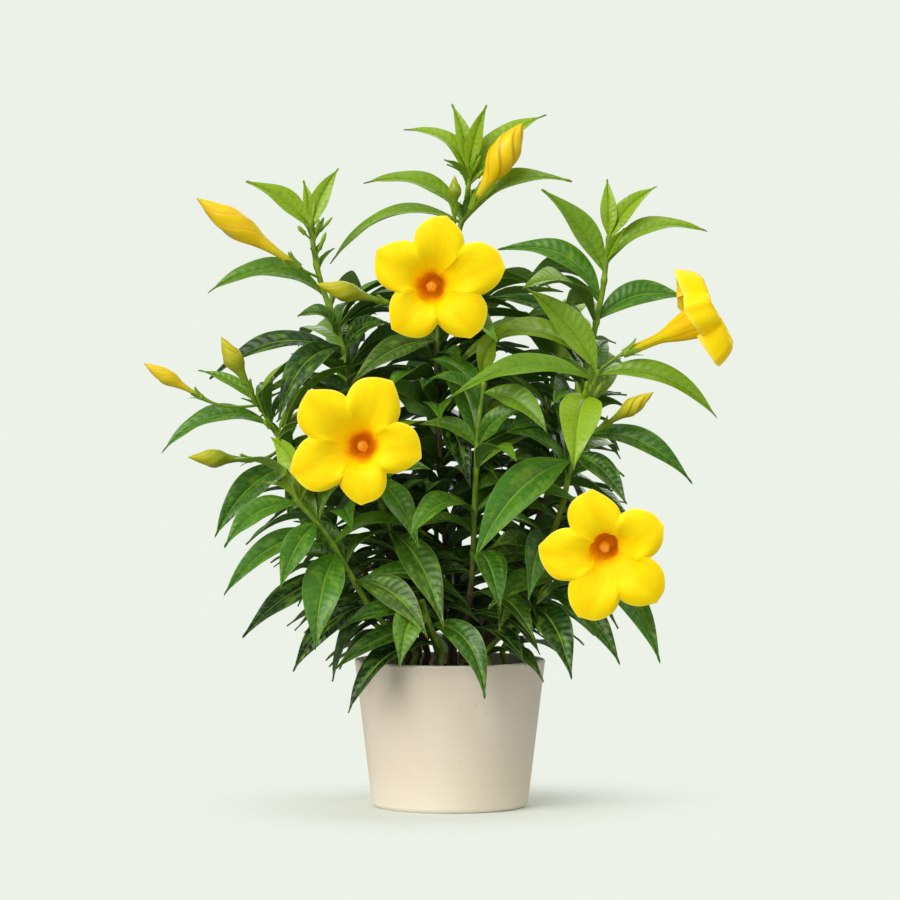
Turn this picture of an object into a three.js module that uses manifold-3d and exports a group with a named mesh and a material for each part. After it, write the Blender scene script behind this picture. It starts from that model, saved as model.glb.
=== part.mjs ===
// A potted allamanda: a tapered pot of soil, leafy stems that rise out of it, yellow trumpet blooms and
// rolled buds. Millimetres, +Z up. The origin is the centre of the pot's underside, and most blooms face -Y.

import * as THREE from "three";
import { mergeVertices } from "three/addons/utils/BufferGeometryUtils.js";
import Module from "manifold-3d";

const wasm = await Module();
wasm.setup();

// Pot and soil
const POT_HEIGHT = 96;
const POT_TOP_RADIUS = 62;
const POT_BASE_RADIUS = 50.5;
const POT_WALL = 5;
const POT_FLOOR = 7;
const FOOT_BEVEL = 2.4;
const RIM_ROUND = 1.4;
const DRAIN_HOLES = 4;
const DRAIN_RADIUS = 4.5;
const DRAIN_CIRCLE = 27;
const DRAIN_SIDES = 12;
const POT_SIDES = 36;
const SOIL_EDGE = 87;
const SOIL_CROWN = 90;
const SOIL_RINGS = [1, 0.6];
const SEAT_GAP = 0.3;

// Stems, stalks and the holes that the stems stand in
const HOLE_BOTTOM = 62;
const HOLE_CLEARANCE = 0.6;
const HOLE_SIDES = 7;
const STEM_FOOT = [78, 93, 104];
const STEM_SIDES = 5;
const STEM_TIP_RADIUS = 1.1;
const STALK_RADIUS = 1.1;
const STALK_SUNK = 1.1;
const STALK_BEND = 0.45;
const STALK_STEPS = [0.02, 0.3, 0.65, 1];

// Calyx. The bore holds the flower's foot, and each pair is a height above the bore's floor and a reach
// outside the bore, or for the foot a radius, all at size 1.
const CUP_RADIUS = 2.1;
const CALYX_CLEARANCE = 0.8;
const CALYX_FOOT = [-3.5, 0.8];
const SEPAL_BACK = [4.5, 2.2];
const NOTCH_BACK = [1.8, 1.4];
const SEPAL_TIP = [11, 5.4];
const NOTCH_TOP = [2.4, 1];
const SMALL_CALYX = 0.7;

// Leaves
const LEAF_THICKNESS = 1.3;
const LEAF_FOLD = 0.28;
const PETIOLE_HALF = 0.8;
const LEAF_ROOT = 0.5;
const LEAF_BEND = 0.45;
const LEAF_WIDEST = 0.92;
const LEAF_POINT = 1.25;
const LEAF_STATIONS = [0.16, 0.4, 0.68];

// Blooms
const BLOOM_DEPTH = 56;
const BLOOM_LOBES = 5;
const BLOOM_THROAT_RADIUS = 11.5;
const BLOOM_TUBE_RADIUS = 2.2;
const PETAL_THICKNESS = 0.9;
const LOBE_FLARE = 7.5;
const LOBE_TURN = 2.1;
const LOBE_ROLL = 3.5;
// One lobe's edge, from notch to notch: degrees from its middle and radius.
const BLOOM_LOBE = [[-36, 30], [-20, 37.5], [-5, 44], [20, 40.5]];
// Radius and depth behind the mouth: the tube's outside from the calyx to the mouth, and the throat inside.
const TUBE_PROFILE = [[BLOOM_TUBE_RADIUS, BLOOM_DEPTH], [2.6, 33], [6.5, 21], [9.6, 9]];
const THROAT_INSIDE = [7.4, 11];
const THROAT_END = 28;

// Buds: the profile is [share of the length, share of half the width] from a slim neck to the pointed tip.
const BUD_PROFILE = [[0.2, 0.3], [0.38, 0.62], [0.56, 1], [0.72, 0.94], [0.88, 0.52]];
const BUD_SIDES = 7;
const BUD_NECK = 0.22;
const LARGE_BUD = 14;

// The rule that fills the crown with leaves
const SEED = 401;
const WHORL_SPACING = 27;
const WHORL_FOOT = 100;
const WHORL_LEAVES = 4;
const WHORL_TRIES = 10;
const FILL_LENGTH = 76;
const FILL_SLENDERNESS = 0.29;
const FILL_ARCH = 0.18;
const YOUNG_LENGTH = 0.72;
// Each range is its least value and what the draw adds. Leaves climb at a stem's top and hang at its foot.
const LENGTH_RANGE = [0.8, 0.35];
const LEAN_RANGE = [0.45, 0.5];
const TOP_CLIMB = 0.7;
const CLIMB_LOSS = 1.2;
const CLIMB_SPREAD = 0.8;
const AZIMUTH_SPREAD = 1.5;

// The room that each piece takes, as balls
const CLEARANCE = 0.8;
const OWN_ROOM = 0.2;
const LEAF_BALLS = 12;
const LEAF_BALL_SHARES = [-0.66, 0, 0.66];
const STEM_BALLS = 60;
const STALK_BALLS = 6;
const BUD_BALLS = 8;
const BLOOM_BALLS = 15;
const BLOOM_BALL_RINGS = [10, 16, 22, 28, 34, 40];
// The view of each front-facing bloom stays free of leaves, with [ring radius, ball radius] at each depth.
const SIGHT_DEPTHS = [12, 24, 36, 48];
const SIGHT_RINGS = [[34, 9], [14, 12]];
const SIGHT_BALLS = 12;

// Leafy stems. root: where the stem leaves the soil. path: the points that it then passes.
// leaves: [height on the stem, [tip], width, arch, turn of the upper face towards -Y in degrees].
const STEMS = {
  stem_top: {
    root: [2, 2],
    radius: 2.8,
    path: [[-2, 3, 160], [-7, 3, 238], [-8, 2, 303], [0, 3, 355], [9, 3, 385], [13, 2, 412]],
    leaves: [
      [410, [1, 8, 457], 11, 3, 80],
      [410, [24, -6, 456], 11, 3, 70],
      [406, [-30, 6, 440], 14, 12, 35],
      [384, [-56, -4, 405], 16, 12, 40],
      [402, [63, 14, 450], 18, 8, 45],
      [376, [79, -8, 406], 17, 16, 42],
      [380, [-78, 10, 353], 16, 18, 25],
      [303, [-63, -48, 276], 17, 8, 60],
      [258, [13, -54, 209], 17, 9, 62],
    ],
  },
  stem_upper_left: {
    root: [-16, 6],
    radius: 2.6,
    path: [[-35, 6, 160], [-57, 4, 232], [-69, 0, 297], [-84, -6, 342], [-89, -8, 368], [-90, -8, 381]],
    leaves: [
      [375, [-132, -14, 406], 15, 5, 55],
      [380, [-95, -4, 407], 7, 1, 80],
      [375, [-72, -2, 415], 12, 3, 75],
      [332, [-157, -6, 334], 18, 16, 38],
      [304, [-98, -34, 319], 15, 9, 50],
      [299, [-110, -46, 252], 19, 14, 60],
      [297, [-40, -30, 315], 15, 6, 60],
      [294, [-156, -4, 278], 17, 16, 40],
    ],
  },
  stem_left: {
    root: [-28, -5],
    radius: 2.4,
    path: [[-48, -8, 141], [-78, -12, 187], [-97, -16, 219], [-115, -20, 248], [-125, -22, 266]],
    leaves: [
      [248, [-186, -24, 231], 16, 15, 42],
      [224, [-151, -44, 177], 19, 9, 62],
      [214, [-104, -52, 190], 13, 5, 60],
      [262, [-163, -14, 284], 9, 4, 50],
    ],
  },
  stem_low_left: {
    root: [-24, -23],
    radius: 2.2,
    path: [[-48, -40, 128], [-67, -53, 160], [-80, -63, 182], [-98, -73, 203]],
    leaves: [
      [200, [-143, -84, 173], 17, 9, 50],
      [182, [-143, -92, 143], 17, 10, 52],
      [154, [-132, -76, 115], 17, 9, 55],
      [168, [-85, -100, 109], 26, 12, 75],
      [134, [-100, -72, 93], 16, 9, 60],
      [188, [-107, -104, 148], 18, 6, 65],
      [150, [-14, -92, 116], 20, 10, 62],
    ],
  },
  stem_left_bloom: {
    root: [-9, -12],
    radius: 2.2,
    path: [[-26, -20, 150], [-42, -26, 190], [-52, -26, 224]],
    leaves: [
      [214, [-20, -72, 172], 17, 8, 62],
      [180, [-4, -82, 122], 22, 10, 65],
    ],
  },
  stem_middle: {
    root: [8, -20],
    radius: 2.4,
    path: [[14, -34, 150], [16, -42, 200], [18, -40, 245], [22, -38, 277]],
    leaves: [
      [270, [62, -64, 245], 18, 8, 55],
    ],
  },
  stem_upper_right: {
    root: [17, 8],
    radius: 2.6,
    path: [[46, 8, 160], [69, 4, 218], [88, 0, 284], [98, -2, 330], [101, -4, 352], [103, -4, 371]],
    leaves: [
      [346, [59, -10, 401], 17, 6, 62],
      [369, [102, 2, 408], 11, 3, 80],
      [367, [134, -8, 403], 13, 5, 65],
      [352, [167, -2, 374], 16, 14, 35],
      [354, [113, -20, 376], 7, 2, 70],
      [330, [31, 6, 362], 18, 15, 48],
      [316, [156, 4, 330], 20, 10, 55],
      [300, [24, -16, 331], 14, 10, 50],
    ],
  },
  stem_right: {
    root: [25, -7],
    radius: 2.4,
    path: [[50, -20, 146], [70, -32, 190], [80, -38, 235], [88, -40, 266], [95, -41, 285]],
    leaves: [
      [281, [171, -50, 254], 17, 14, 50],
      [242, [155, -54, 212], 17, 13, 50],
      [268, [78, -94, 222], 27, 12, 62],
      [230, [112, -78, 200], 16, 7, 60],
      [226, [15, -106, 166], 27, 13, 68],
      [278, [1, -68, 268], 18, 14, 46],
      [284, [0, -18, 283], 17, 27, 40],
      [283, [49, -36, 337], 20, 6, 65],
    ],
  },
  stem_right_bloom: {
    root: [25, -24],
    radius: 2.2,
    path: [[52, -32, 132], [76, -34, 154], [96, -30, 170]],
    leaves: [
      [132, [77, -92, 90], 22, 12, 65],
      [142, [108, -78, 98], 17, 10, 60],
      [160, [134, -66, 98], 18, 12, 60],
      [150, [24, -98, 135], 17, 8, 55],
    ],
  },
  stem_front: {
    root: [-6, -34],
    radius: 2,
    path: [[-12, -50, 120], [-18, -62, 138]],
    leaves: [
      [128, [-71, -74, 120], 14, 8, 50],
      [118, [-74, -74, 94], 14, 8, 50],
      [134, [-32, -98, 98], 20, 10, 65],
      [122, [22, -88, 77], 18, 16, 70],
    ],
  },
  stem_back_left: {
    root: [-22, 24],
    radius: 2.4,
    path: [[-40, 36, 160], [-56, 48, 225], [-66, 54, 280], [-70, 56, 318]],
    leaves: [],
  },
  stem_back: {
    root: [2, 20],
    radius: 2.4,
    path: [[6, 36, 170], [8, 48, 245], [8, 54, 310], [6, 56, 352]],
    leaves: [],
  },
  stem_back_right: {
    root: [22, 26],
    radius: 2.4,
    path: [[42, 42, 160], [58, 54, 225], [68, 60, 275], [74, 62, 308]],
    leaves: [],
  },
  stem_low_back: {
    root: [0, 37],
    radius: 2.2,
    path: [[-4, 54, 128], [-8, 70, 158], [-10, 82, 190]],
    leaves: [],
  },
  stem_low_back_left: {
    root: [-35, 12],
    radius: 2.2,
    path: [[-58, 26, 126], [-80, 40, 156], [-92, 48, 186]],
    leaves: [],
  },
  stem_low_back_right: {
    root: [36, 12],
    radius: 2.2,
    path: [[60, 26, 128], [82, 38, 158], [96, 44, 190]],
    leaves: [],
  },
};

// Blooms: the stem that carries each, the height of its stalk there, the middle of its mouth, the way that it
// faces, and the angle of its first lobe, seen from the front and counted from the right. The lobes of the one
// at the right spread less than on the others, arch further forward and roll back more.
const BLOOMS = {
  bloom_top: { stem: "stem_top", from: 322, mouth: [-10, -62, 340], facing: [-0.08, -0.98, -0.12], turn: 88 },
  bloom_left: {
    stem: "stem_left_bloom", from: 216, mouth: [-59, -100, 239], facing: [0.03, -0.99, -0.06], turn: 65,
  },
  bloom_low_right: {
    stem: "stem_right_bloom", from: 164, mouth: [102, -102, 169], facing: [-0.2, -0.96, -0.14], turn: 106,
  },
  bloom_right: {
    stem: "stem_right", from: 280, mouth: [163, -48, 318], facing: [0.91, -0.08, 0.4], turn: 96,
    spread: 0.78, flare: 20, roll: 13,
  },
};

// Buds: the stem that carries each, the height of its stalk there, its base, its tip and its width.
const BUDS = {
  bud_top: { stem: "stem_top", from: 378, base: [14, -9, 389], tip: [47, -17, 444], width: 19 },
  bud_top_small: { stem: "stem_top", from: 370, base: [3, -12, 386], tip: [3, -14, 410], width: 9 },
  bud_upper_left: {
    stem: "stem_upper_left", from: 344, base: [-98, -15, 351], tip: [-163, -26, 395], width: 17,
  },
  bud_far_left: { stem: "stem_left", from: 262, base: [-160, -30, 267], tip: [-197, -32, 289], width: 10 },
  bud_left_upright: {
    stem: "stem_left", from: 264, base: [-128, -30, 271], tip: [-147, -36, 306], width: 13,
  },
  bud_left_low: { stem: "stem_left", from: 236, base: [-128, -34, 227], tip: [-168, -46, 229], width: 12 },
  bud_middle: { stem: "stem_top", from: 312, base: [-41, -20, 328], tip: [-86, -28, 340], width: 13 },
  bud_right: { stem: "stem_right", from: 238, base: [97, -48, 248], tip: [130, -56, 271], width: 11 },
};

// The outline that the filling leaves keep within, seen from the front: [height, furthest left and right].
const CROWN = [
  [90, -78, 80],
  [112, -108, 118],
  [150, -138, 128],
  [215, -146, 118],
  [255, -140, 118],
  [300, -112, 112],
  [330, -62, 96],
  [345, -34, 60],
];
const CROWN_FRONT = -104;
const CROWN_BACK = 126;
const RIM_CLEARANCE = 3;

const v3 = (p) => new THREE.Vector3(...p);
const CALYX_UP = v3([0.2, -0.5, 0.84]);

// A repeatable stream of numbers from 0 to 1.
function randomStream(seed) {
  let state = seed;
  return () => {
    state = (state + 0x6d2b79f5) | 0;
    let mixed = Math.imul(state ^ (state >>> 15), state | 1);
    mixed ^= mixed + Math.imul(mixed ^ (mixed >>> 7), mixed | 61);
    return ((mixed ^ (mixed >>> 14)) >>> 0) / 4294967296;
  };
}

// A closed surface over a row of rings with as many points each. A ring of one point is a tip. `leansBack` says
// for a row and side which way its diagonal leans, so that both faces of a thin blade can bend alike.
function loft(rings, leansBack = () => false) {
  const points = rings.flat();
  const starts = [];
  rings.reduce((start, ring) => (starts.push(start), start + ring.length), 0);
  const faces = [];
  for (let r = 0; r + 1 < rings.length; r++) {
    const count = Math.max(rings[r].length, rings[r + 1].length);
    for (let i = 0; i < count; i++) {
      const next = (i + 1) % count;
      const a = starts[r] + (i % rings[r].length);
      const b = starts[r] + (next % rings[r].length);
      const c = starts[r + 1] + (next % rings[r + 1].length);
      const d = starts[r + 1] + (i % rings[r + 1].length);
      const [near, far] = leansBack(r, i) ? [b, d] : [a, c];
      if (a !== b) faces.push([a, b, far]);
      if (c !== d) faces.push([near, c, d]);
    }
  }
  const cap = (ring, start, turned) => {
    for (let i = 1; i + 1 < ring.length; i++) {
      faces.push(turned ? [start, start + i + 1, start + i] : [start, start + i, start + i + 1]);
    }
  };
  cap(rings[0], starts[0], true);
  cap(rings.at(-1), starts.at(-1), false);
  const volume = faces.reduce((sum, [a, b, c]) => sum + points[a].dot(points[b].clone().cross(points[c])), 0);
  if (volume < 0) faces.forEach((face) => face.reverse());
  const geometry = new THREE.BufferGeometry().setFromPoints(points);
  geometry.setIndex(faces.flat());
  return geometry;
}

// A three.js geometry as a solid that can be joined and cut.
function solid(geometry) {
  const bare = geometry.clone();
  bare.deleteAttribute("normal");
  bare.deleteAttribute("uv");
  const merged = mergeVertices(bare, 1e-4);
  return new wasm.Manifold(
    new wasm.Mesh({
      numProp: 3,
      vertProperties: merged.attributes.position.array,
      triVerts: new Uint32Array(merged.index.array),
    }),
  );
}

function geometryOf(body) {
  const { vertProperties, triVerts } = body.getMesh();
  const geometry = new THREE.BufferGeometry();
  geometry.setAttribute("position", new THREE.BufferAttribute(vertProperties, 3));
  geometry.setIndex(new THREE.BufferAttribute(triVerts, 1));
  return geometry;
}

// The largest body of a joined solid, so that a pocket sealed between leaves is filled.
function outerBody(joined) {
  return joined.decompose().reduce((largest, body) => (body.volume() > largest.volume() ? body : largest));
}

// Two unit vectors across an axis. The first leans as far as it can towards `towards`.
function across(axis, towards) {
  const first = towards.clone().addScaledVector(axis, -towards.dot(axis)).normalize();
  return [first, axis.clone().cross(first)];
}

function ringAround(centre, axis, towards, radii) {
  const [u, v] = across(axis, towards);
  return radii.map((radius, i) => {
    const angle = (2 * Math.PI * i) / radii.length;
    const point = centre.clone().addScaledVector(u, radius * Math.cos(angle));
    return point.addScaledVector(v, radius * Math.sin(angle));
  });
}

const even = (radius, sides) => Array(sides).fill(radius);

// A tube of rings along a curve, thinner towards its end.
function taperedTube(curve, steps, startRadius, endRadius, sides, towards) {
  const rings = steps.map((t) => {
    const radius = THREE.MathUtils.lerp(startRadius, endRadius, t);
    return ringAround(curve.getPoint(t), curve.getTangent(t), towards, even(radius, sides));
  });
  return loft(rings);
}

// The pot: a tapered wall with a bevelled foot, a rounded rim and drainage holes in its floor.
function makePot() {
  const slope = (POT_TOP_RADIUS - POT_BASE_RADIUS) / POT_HEIGHT;
  const outer = (z) => POT_BASE_RADIUS + slope * z;
  const inner = (z) => outer(z) - POT_WALL;
  const profile = [
    [0, 0],
    [outer(0) - FOOT_BEVEL, 0],
    [outer(FOOT_BEVEL), FOOT_BEVEL],
    [outer(POT_HEIGHT - RIM_ROUND), POT_HEIGHT - RIM_ROUND],
    [outer(POT_HEIGHT) - RIM_ROUND, POT_HEIGHT],
    [inner(POT_HEIGHT) + RIM_ROUND, POT_HEIGHT],
    [inner(POT_HEIGHT - RIM_ROUND), POT_HEIGHT - RIM_ROUND],
    [inner(POT_FLOOR), POT_FLOOR],
    [0, POT_FLOOR],
  ];
  const lathe = new THREE.LatheGeometry(profile.map(([r, z]) => new THREE.Vector2(r, z)), POT_SIDES);
  let body = solid(lathe.rotateX(Math.PI / 2));
  for (let i = 0; i < DRAIN_HOLES; i++) {
    const angle = ((i + 0.5) * 2 * Math.PI) / DRAIN_HOLES;
    const hole = new THREE.CylinderGeometry(DRAIN_RADIUS, DRAIN_RADIUS, 4 * POT_FLOOR, DRAIN_SIDES);
    hole.rotateX(Math.PI / 2).translate(DRAIN_CIRCLE * Math.cos(angle), DRAIN_CIRCLE * Math.sin(angle), 0);
    body = body.subtract(solid(hole));
  }
  return geometryOf(body);
}

// The soil: it fills the pot, its top a low cosine dome, with a plain hole for each stem.
function makeSoil() {
  const slope = (POT_TOP_RADIUS - POT_BASE_RADIUS) / POT_HEIGHT;
  const wall = (z) => POT_BASE_RADIUS + slope * z - POT_WALL - SEAT_GAP;
  const bottom = POT_FLOOR + SEAT_GAP;
  const dome = (share) => SOIL_EDGE + (SOIL_CROWN - SOIL_EDGE) * Math.cos((share * Math.PI) / 2);
  const profile = [
    [0, bottom],
    [wall(bottom), bottom],
    ...SOIL_RINGS.map((share) => [wall(SOIL_EDGE) * share, dome(share)]),
    [0, SOIL_CROWN],
  ];
  const lathe = new THREE.LatheGeometry(profile.map(([r, z]) => new THREE.Vector2(r, z)), POT_SIDES);
  let body = solid(lathe.rotateX(Math.PI / 2));
  const depth = 2 * (SOIL_CROWN - HOLE_BOTTOM);
  for (const { root, radius } of Object.values(STEMS)) {
    const reach = radius + HOLE_CLEARANCE;
    const hole = new THREE.CylinderGeometry(reach, reach, depth, HOLE_SIDES).rotateX(Math.PI / 2);
    body = body.subtract(solid(hole.translate(root[0], root[1], HOLE_BOTTOM + depth / 2)));
  }
  return geometryOf(body);
}

// The curve of a stem: straight up out of its hole, then through its path.
function stemCurve({ root, path }) {
  const [x, y] = root;
  const foot = [HOLE_BOTTOM + SEAT_GAP, ...STEM_FOOT].map((z) => [x, y, z]);
  return new THREE.CatmullRomCurve3([...foot, ...path].map(v3), false, "catmullrom", 0.5);
}

// The point of a stem at a height.
function stemAt(curve, height) {
  let low = 0;
  let high = 1;
  for (let i = 0; i < 30; i++) {
    const middle = (low + high) / 2;
    if (curve.getPoint(middle).z < height) low = middle;
    else high = middle;
  }
  return curve.getPoint(low);
}

// The radius of a stem at a height: it thins evenly along its curve.
function stemRadius(stem, curve, height) {
  const foot = curve.getPoint(0).z;
  const share = (height - foot) / (curve.getPoint(1).z - foot);
  return THREE.MathUtils.lerp(stem.radius, STEM_TIP_RADIUS, share);
}

// A leaf: a blade that arches from its base to its tip. up is the way that its upper face looks.
function makeLeaf(base, tip, width, arch, up, inside) {
  const chord = tip.clone().sub(base);
  const along = chord.clone().normalize();
  const [rise] = across(along, new THREE.Vector3(0, 0, 1));
  const bend = base.clone().addScaledVector(chord, LEAF_BEND).addScaledVector(rise, 2 * arch);
  const curve = new THREE.QuadraticBezierCurve3(base, bend, tip);
  return { curve, width, up, start: inside / chord.length() };
}

// Half the blade's width: a lance shape, widest a little before its middle, with a drawn-out tip.
function leafHalf(leaf, t) {
  return Math.max(PETIOLE_HALF, 0.5 * leaf.width * Math.sin(Math.PI * t ** LEAF_WIDEST) ** LEAF_POINT);
}

function leafFrame(leaf, t) {
  const point = leaf.curve.getPoint(t);
  const tangent = leaf.curve.getTangent(t);
  const side = tangent.clone().cross(leaf.up).normalize();
  const normal = side.clone().cross(tangent);
  return { point, side, normal };
}

// The blade as a solid: rings of four corners, folded along the midrib, that close on the tip.
function leafGeometry(leaf) {
  const rings = [leaf.start, ...LEAF_STATIONS].map((t) => {
    const { point, side, normal } = leafFrame(leaf, t);
    const half = leafHalf(leaf, t);
    const corner = (out, up) => point.clone().addScaledVector(side, out).addScaledVector(normal, up);
    return [
      corner(half, LEAF_FOLD * half),
      corner(0, 0.5 * LEAF_THICKNESS),
      corner(-half, LEAF_FOLD * half),
      corner(0, -0.5 * LEAF_THICKNESS),
    ];
  });
  return loft([...rings, [leaf.curve.getPoint(1)]], (row, side) => side % 2 === 1);
}

// The room that a leaf takes, as small balls over its blade. The first ones touch its own stem.
function leafBalls(leaf) {
  const balls = [];
  for (let k = 1; k <= LEAF_BALLS; k++) {
    const t = k / (LEAF_BALLS + 0.2);
    const { point, side, normal } = leafFrame(leaf, t);
    const half = leafHalf(leaf, t);
    for (const share of LEAF_BALL_SHARES) {
      const centre = point.clone().addScaledVector(side, share * half);
      centre.addScaledVector(normal, Math.abs(share) * LEAF_FOLD * half);
      balls.push({ centre, radius: 0.3 * half + 1.2, t });
    }
  }
  return balls;
}

function bloomFrame(bloom) {
  const axis = v3(bloom.facing).normalize();
  const mouth = v3(bloom.mouth);
  const [up, left] = across(axis, new THREE.Vector3(0, 0, 1));
  return { axis, mouth, up, right: left.negate() };
}

function bloomPoint(frame, bloom, angle, radius, depth) {
  const turned = angle + THREE.MathUtils.degToRad(bloom.turn);
  const point = frame.mouth.clone().addScaledVector(frame.axis, -depth);
  point.addScaledVector(frame.right, radius * Math.cos(turned));
  return point.addScaledVector(frame.up, radius * Math.sin(turned));
}

// How far a lobe stands forward of the mouth: it flares, then rolls back at its edge.
function lobeForward({ flare = LOBE_FLARE, roll = LOBE_ROLL }, out) {
  return flare * Math.sin(LOBE_TURN * out) - roll * out * out;
}

// A petal's thickness measured along the bloom's axis, which grows with the slope of the lobe.
function petalDepth({ flare = LOBE_FLARE, roll = LOBE_ROLL }, out, width) {
  const rise = flare * LOBE_TURN * Math.cos(LOBE_TURN * out) - 2 * roll * out;
  return PETAL_THICKNESS * Math.hypot(1, rise / width);
}

// A bloom: a slim tube that widens to a throat and flares into five rounded lobes. `out` is the share of the
// way from the mouth to the edge of a lobe, and `back` is 1 on the back of the lobes and 0 on their front.
function makeBloom(bloom) {
  const frame = bloomFrame(bloom);
  const edge = [];
  for (let lobe = 0; lobe < BLOOM_LOBES; lobe++) {
    for (const [turn, reach] of BLOOM_LOBE) {
      edge.push({ angle: THREE.MathUtils.degToRad(turn + (360 * lobe) / BLOOM_LOBES), reach });
    }
  }
  const tubeRing = (radius, depth) => edge.map(({ angle }) => bloomPoint(frame, bloom, angle, radius, depth));
  const lobeRing = (out, back) =>
    edge.map(({ angle, reach }) => {
      const width = reach * (bloom.spread ?? 1) - BLOOM_THROAT_RADIUS;
      const depth = back * petalDepth(bloom, out, width) - lobeForward(bloom, out);
      return bloomPoint(frame, bloom, angle, BLOOM_THROAT_RADIUS + width * out, depth);
    });
  const outside = TUBE_PROFILE.map(([radius, depth]) => tubeRing(radius, depth));
  const back = [0.03, 0.35, 0.7].map((out) => lobeRing(out, 1));
  const front = [1, 0.7, 0.35, 0].map((out) => lobeRing(out, 0));
  const inside = [tubeRing(...THROAT_INSIDE), [bloomPoint(frame, bloom, 0, 0, THROAT_END)]];
  const lip = outside.length + back.length;
  return loft([...outside, ...back, ...front, ...inside], (row) => row >= lip);
}

// The end of the stalk that carries a bloom or bud.
function bloomCalyx(bloom) {
  const { axis, mouth } = bloomFrame(bloom);
  return { cup: mouth.addScaledVector(axis, -BLOOM_DEPTH - SEAT_GAP), axis };
}

function budCalyx(bud) {
  const axis = v3(bud.tip).sub(v3(bud.base)).normalize();
  return { cup: v3(bud.base).addScaledVector(axis, -SEAT_GAP), axis };
}

// A bud: a slim neck, then a rolled spindle with a pointed tip.
function makeBud(bud) {
  const base = v3(bud.base);
  const reach = v3(bud.tip).sub(base);
  const axis = reach.clone().normalize();
  const towards = new THREE.Vector3(0, -1, 0);
  const neck = Math.min(CUP_RADIUS, BUD_NECK * bud.width);
  const rings = [[0, (2 * neck) / bud.width], ...BUD_PROFILE].map(([t, share]) => {
    const centre = base.clone().addScaledVector(reach, t);
    return ringAround(centre, axis, towards, even(0.5 * share * bud.width, BUD_SIDES));
  });
  return loft([...rings, [v3(bud.tip)]]);
}

// The line of a flower stalk: out of the stem, and into the calyx along the flower's own axis.
function stalkCurve(start, { cup, axis }) {
  const bend = cup.clone().addScaledVector(axis, -STALK_BEND * start.distanceTo(cup));
  return new THREE.QuadraticBezierCurve3(start, bend, cup.clone().addScaledVector(axis, -STALK_SUNK));
}

// A flower stalk with its calyx: a slim curve out of the stem that ends in five sepals round the flower.
function stalkPieces(start, calyx, size) {
  const { cup, axis } = calyx;
  const curve = stalkCurve(start, calyx);
  const stalk = taperedTube(curve, STALK_STEPS, STALK_RADIUS, STALK_RADIUS, STEM_SIDES, CALYX_UP);
  return [stalk, calyxGeometry(cup, axis, size)];
}

// The calyx as one thin-walled crown: its wall rises from the cup and ends in five points with notches.
function calyxGeometry(cup, axis, size) {
  const ring = (along, radius) => {
    const centre = cup.clone().addScaledVector(axis, along * size);
    return ringAround(centre, axis, CALYX_UP, even(size * radius, 2 * BLOOM_LOBES));
  };
  const bore = CUP_RADIUS / size + CALYX_CLEARANCE;
  const crown = (sepal, notch) => {
    const high = ring(sepal[0], bore + sepal[1]);
    const low = ring(notch[0], bore + notch[1]);
    return high.map((point, i) => (i % 2 ? low[i] : point));
  };
  const back = crown(SEPAL_BACK, NOTCH_BACK);
  const edge = crown(SEPAL_TIP, NOTCH_TOP);
  return loft([ring(...CALYX_FOOT), back, edge, ring(0, bore)]);
}

// Everything that a filling leaf keeps clear of, as balls that each belong to a node.
const crowd = [];

function addBalls(owner, balls) {
  for (const ball of balls) crowd.push({ ...ball, owner });
}

function fits(balls, owner) {
  return balls.every(({ centre, radius, t }) =>
    crowd.every((other) => {
      const own = other.owner === owner;
      if (own && (t < OWN_ROOM || other.t < OWN_ROOM)) return true;
      return centre.distanceTo(other.centre) > radius + other.radius + CLEARANCE;
    }),
  );
}

function curveBalls(curve, radius, count) {
  return Array.from({ length: count + 1 }, (_, i) => {
    const t = i / count;
    return { centre: curve.getPoint(t), radius, t };
  });
}

function bloomBalls(bloom) {
  const frame = bloomFrame(bloom);
  const balls = [];
  for (const radius of BLOOM_BALL_RINGS) {
    for (let i = 0; i < BLOOM_BALLS; i++) {
      const angle = (2 * Math.PI * i) / BLOOM_BALLS;
      balls.push({ centre: bloomPoint(frame, bloom, angle, radius, -4), radius: 6, t: 1 });
    }
  }
  for (const [radius, depth] of TUBE_PROFILE) {
    balls.push({ centre: bloomPoint(frame, bloom, 0, 0, depth), radius: radius + 3, t: 1 });
    balls.push({ centre: bloomPoint(frame, bloom, 0, 0, depth - 7), radius: radius + 3, t: 1 });
  }
  return balls;
}

function sightBalls(bloom) {
  const frame = bloomFrame(bloom);
  const balls = [];
  for (const depth of SIGHT_DEPTHS) {
    for (let i = 0; i < SIGHT_BALLS; i++) {
      const angle = (2 * Math.PI * i) / SIGHT_BALLS;
      for (const [out, radius] of SIGHT_RINGS) {
        balls.push({ centre: bloomPoint(frame, bloom, angle, out, -depth), radius, t: 1 });
      }
    }
  }
  return balls;
}

function crownLimits(height) {
  const above = CROWN.findIndex(([z]) => z >= height);
  if (above < 1) return above === 0 ? CROWN[0].slice(1) : [0, 0];
  const [z0, left0, right0] = CROWN[above - 1];
  const [z1, left1, right1] = CROWN[above];
  const share = (height - z0) / (z1 - z0);
  return [left0 + (left1 - left0) * share, right0 + (right1 - right0) * share];
}

// A filling leaf stays in the crown, off the soil and clear of the pot.
function inCrown(balls, tip) {
  const [left, right] = crownLimits(tip.z);
  if (tip.x < left || tip.x > right || tip.y < CROWN_FRONT || tip.y > CROWN_BACK) return false;
  return balls.every(({ centre, radius }) => {
    const out = Math.hypot(centre.x, centre.y);
    if (centre.z - radius > POT_HEIGHT + 2) return true;
    return out - radius > POT_TOP_RADIUS + RIM_CLEARANCE;
  });
}

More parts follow.
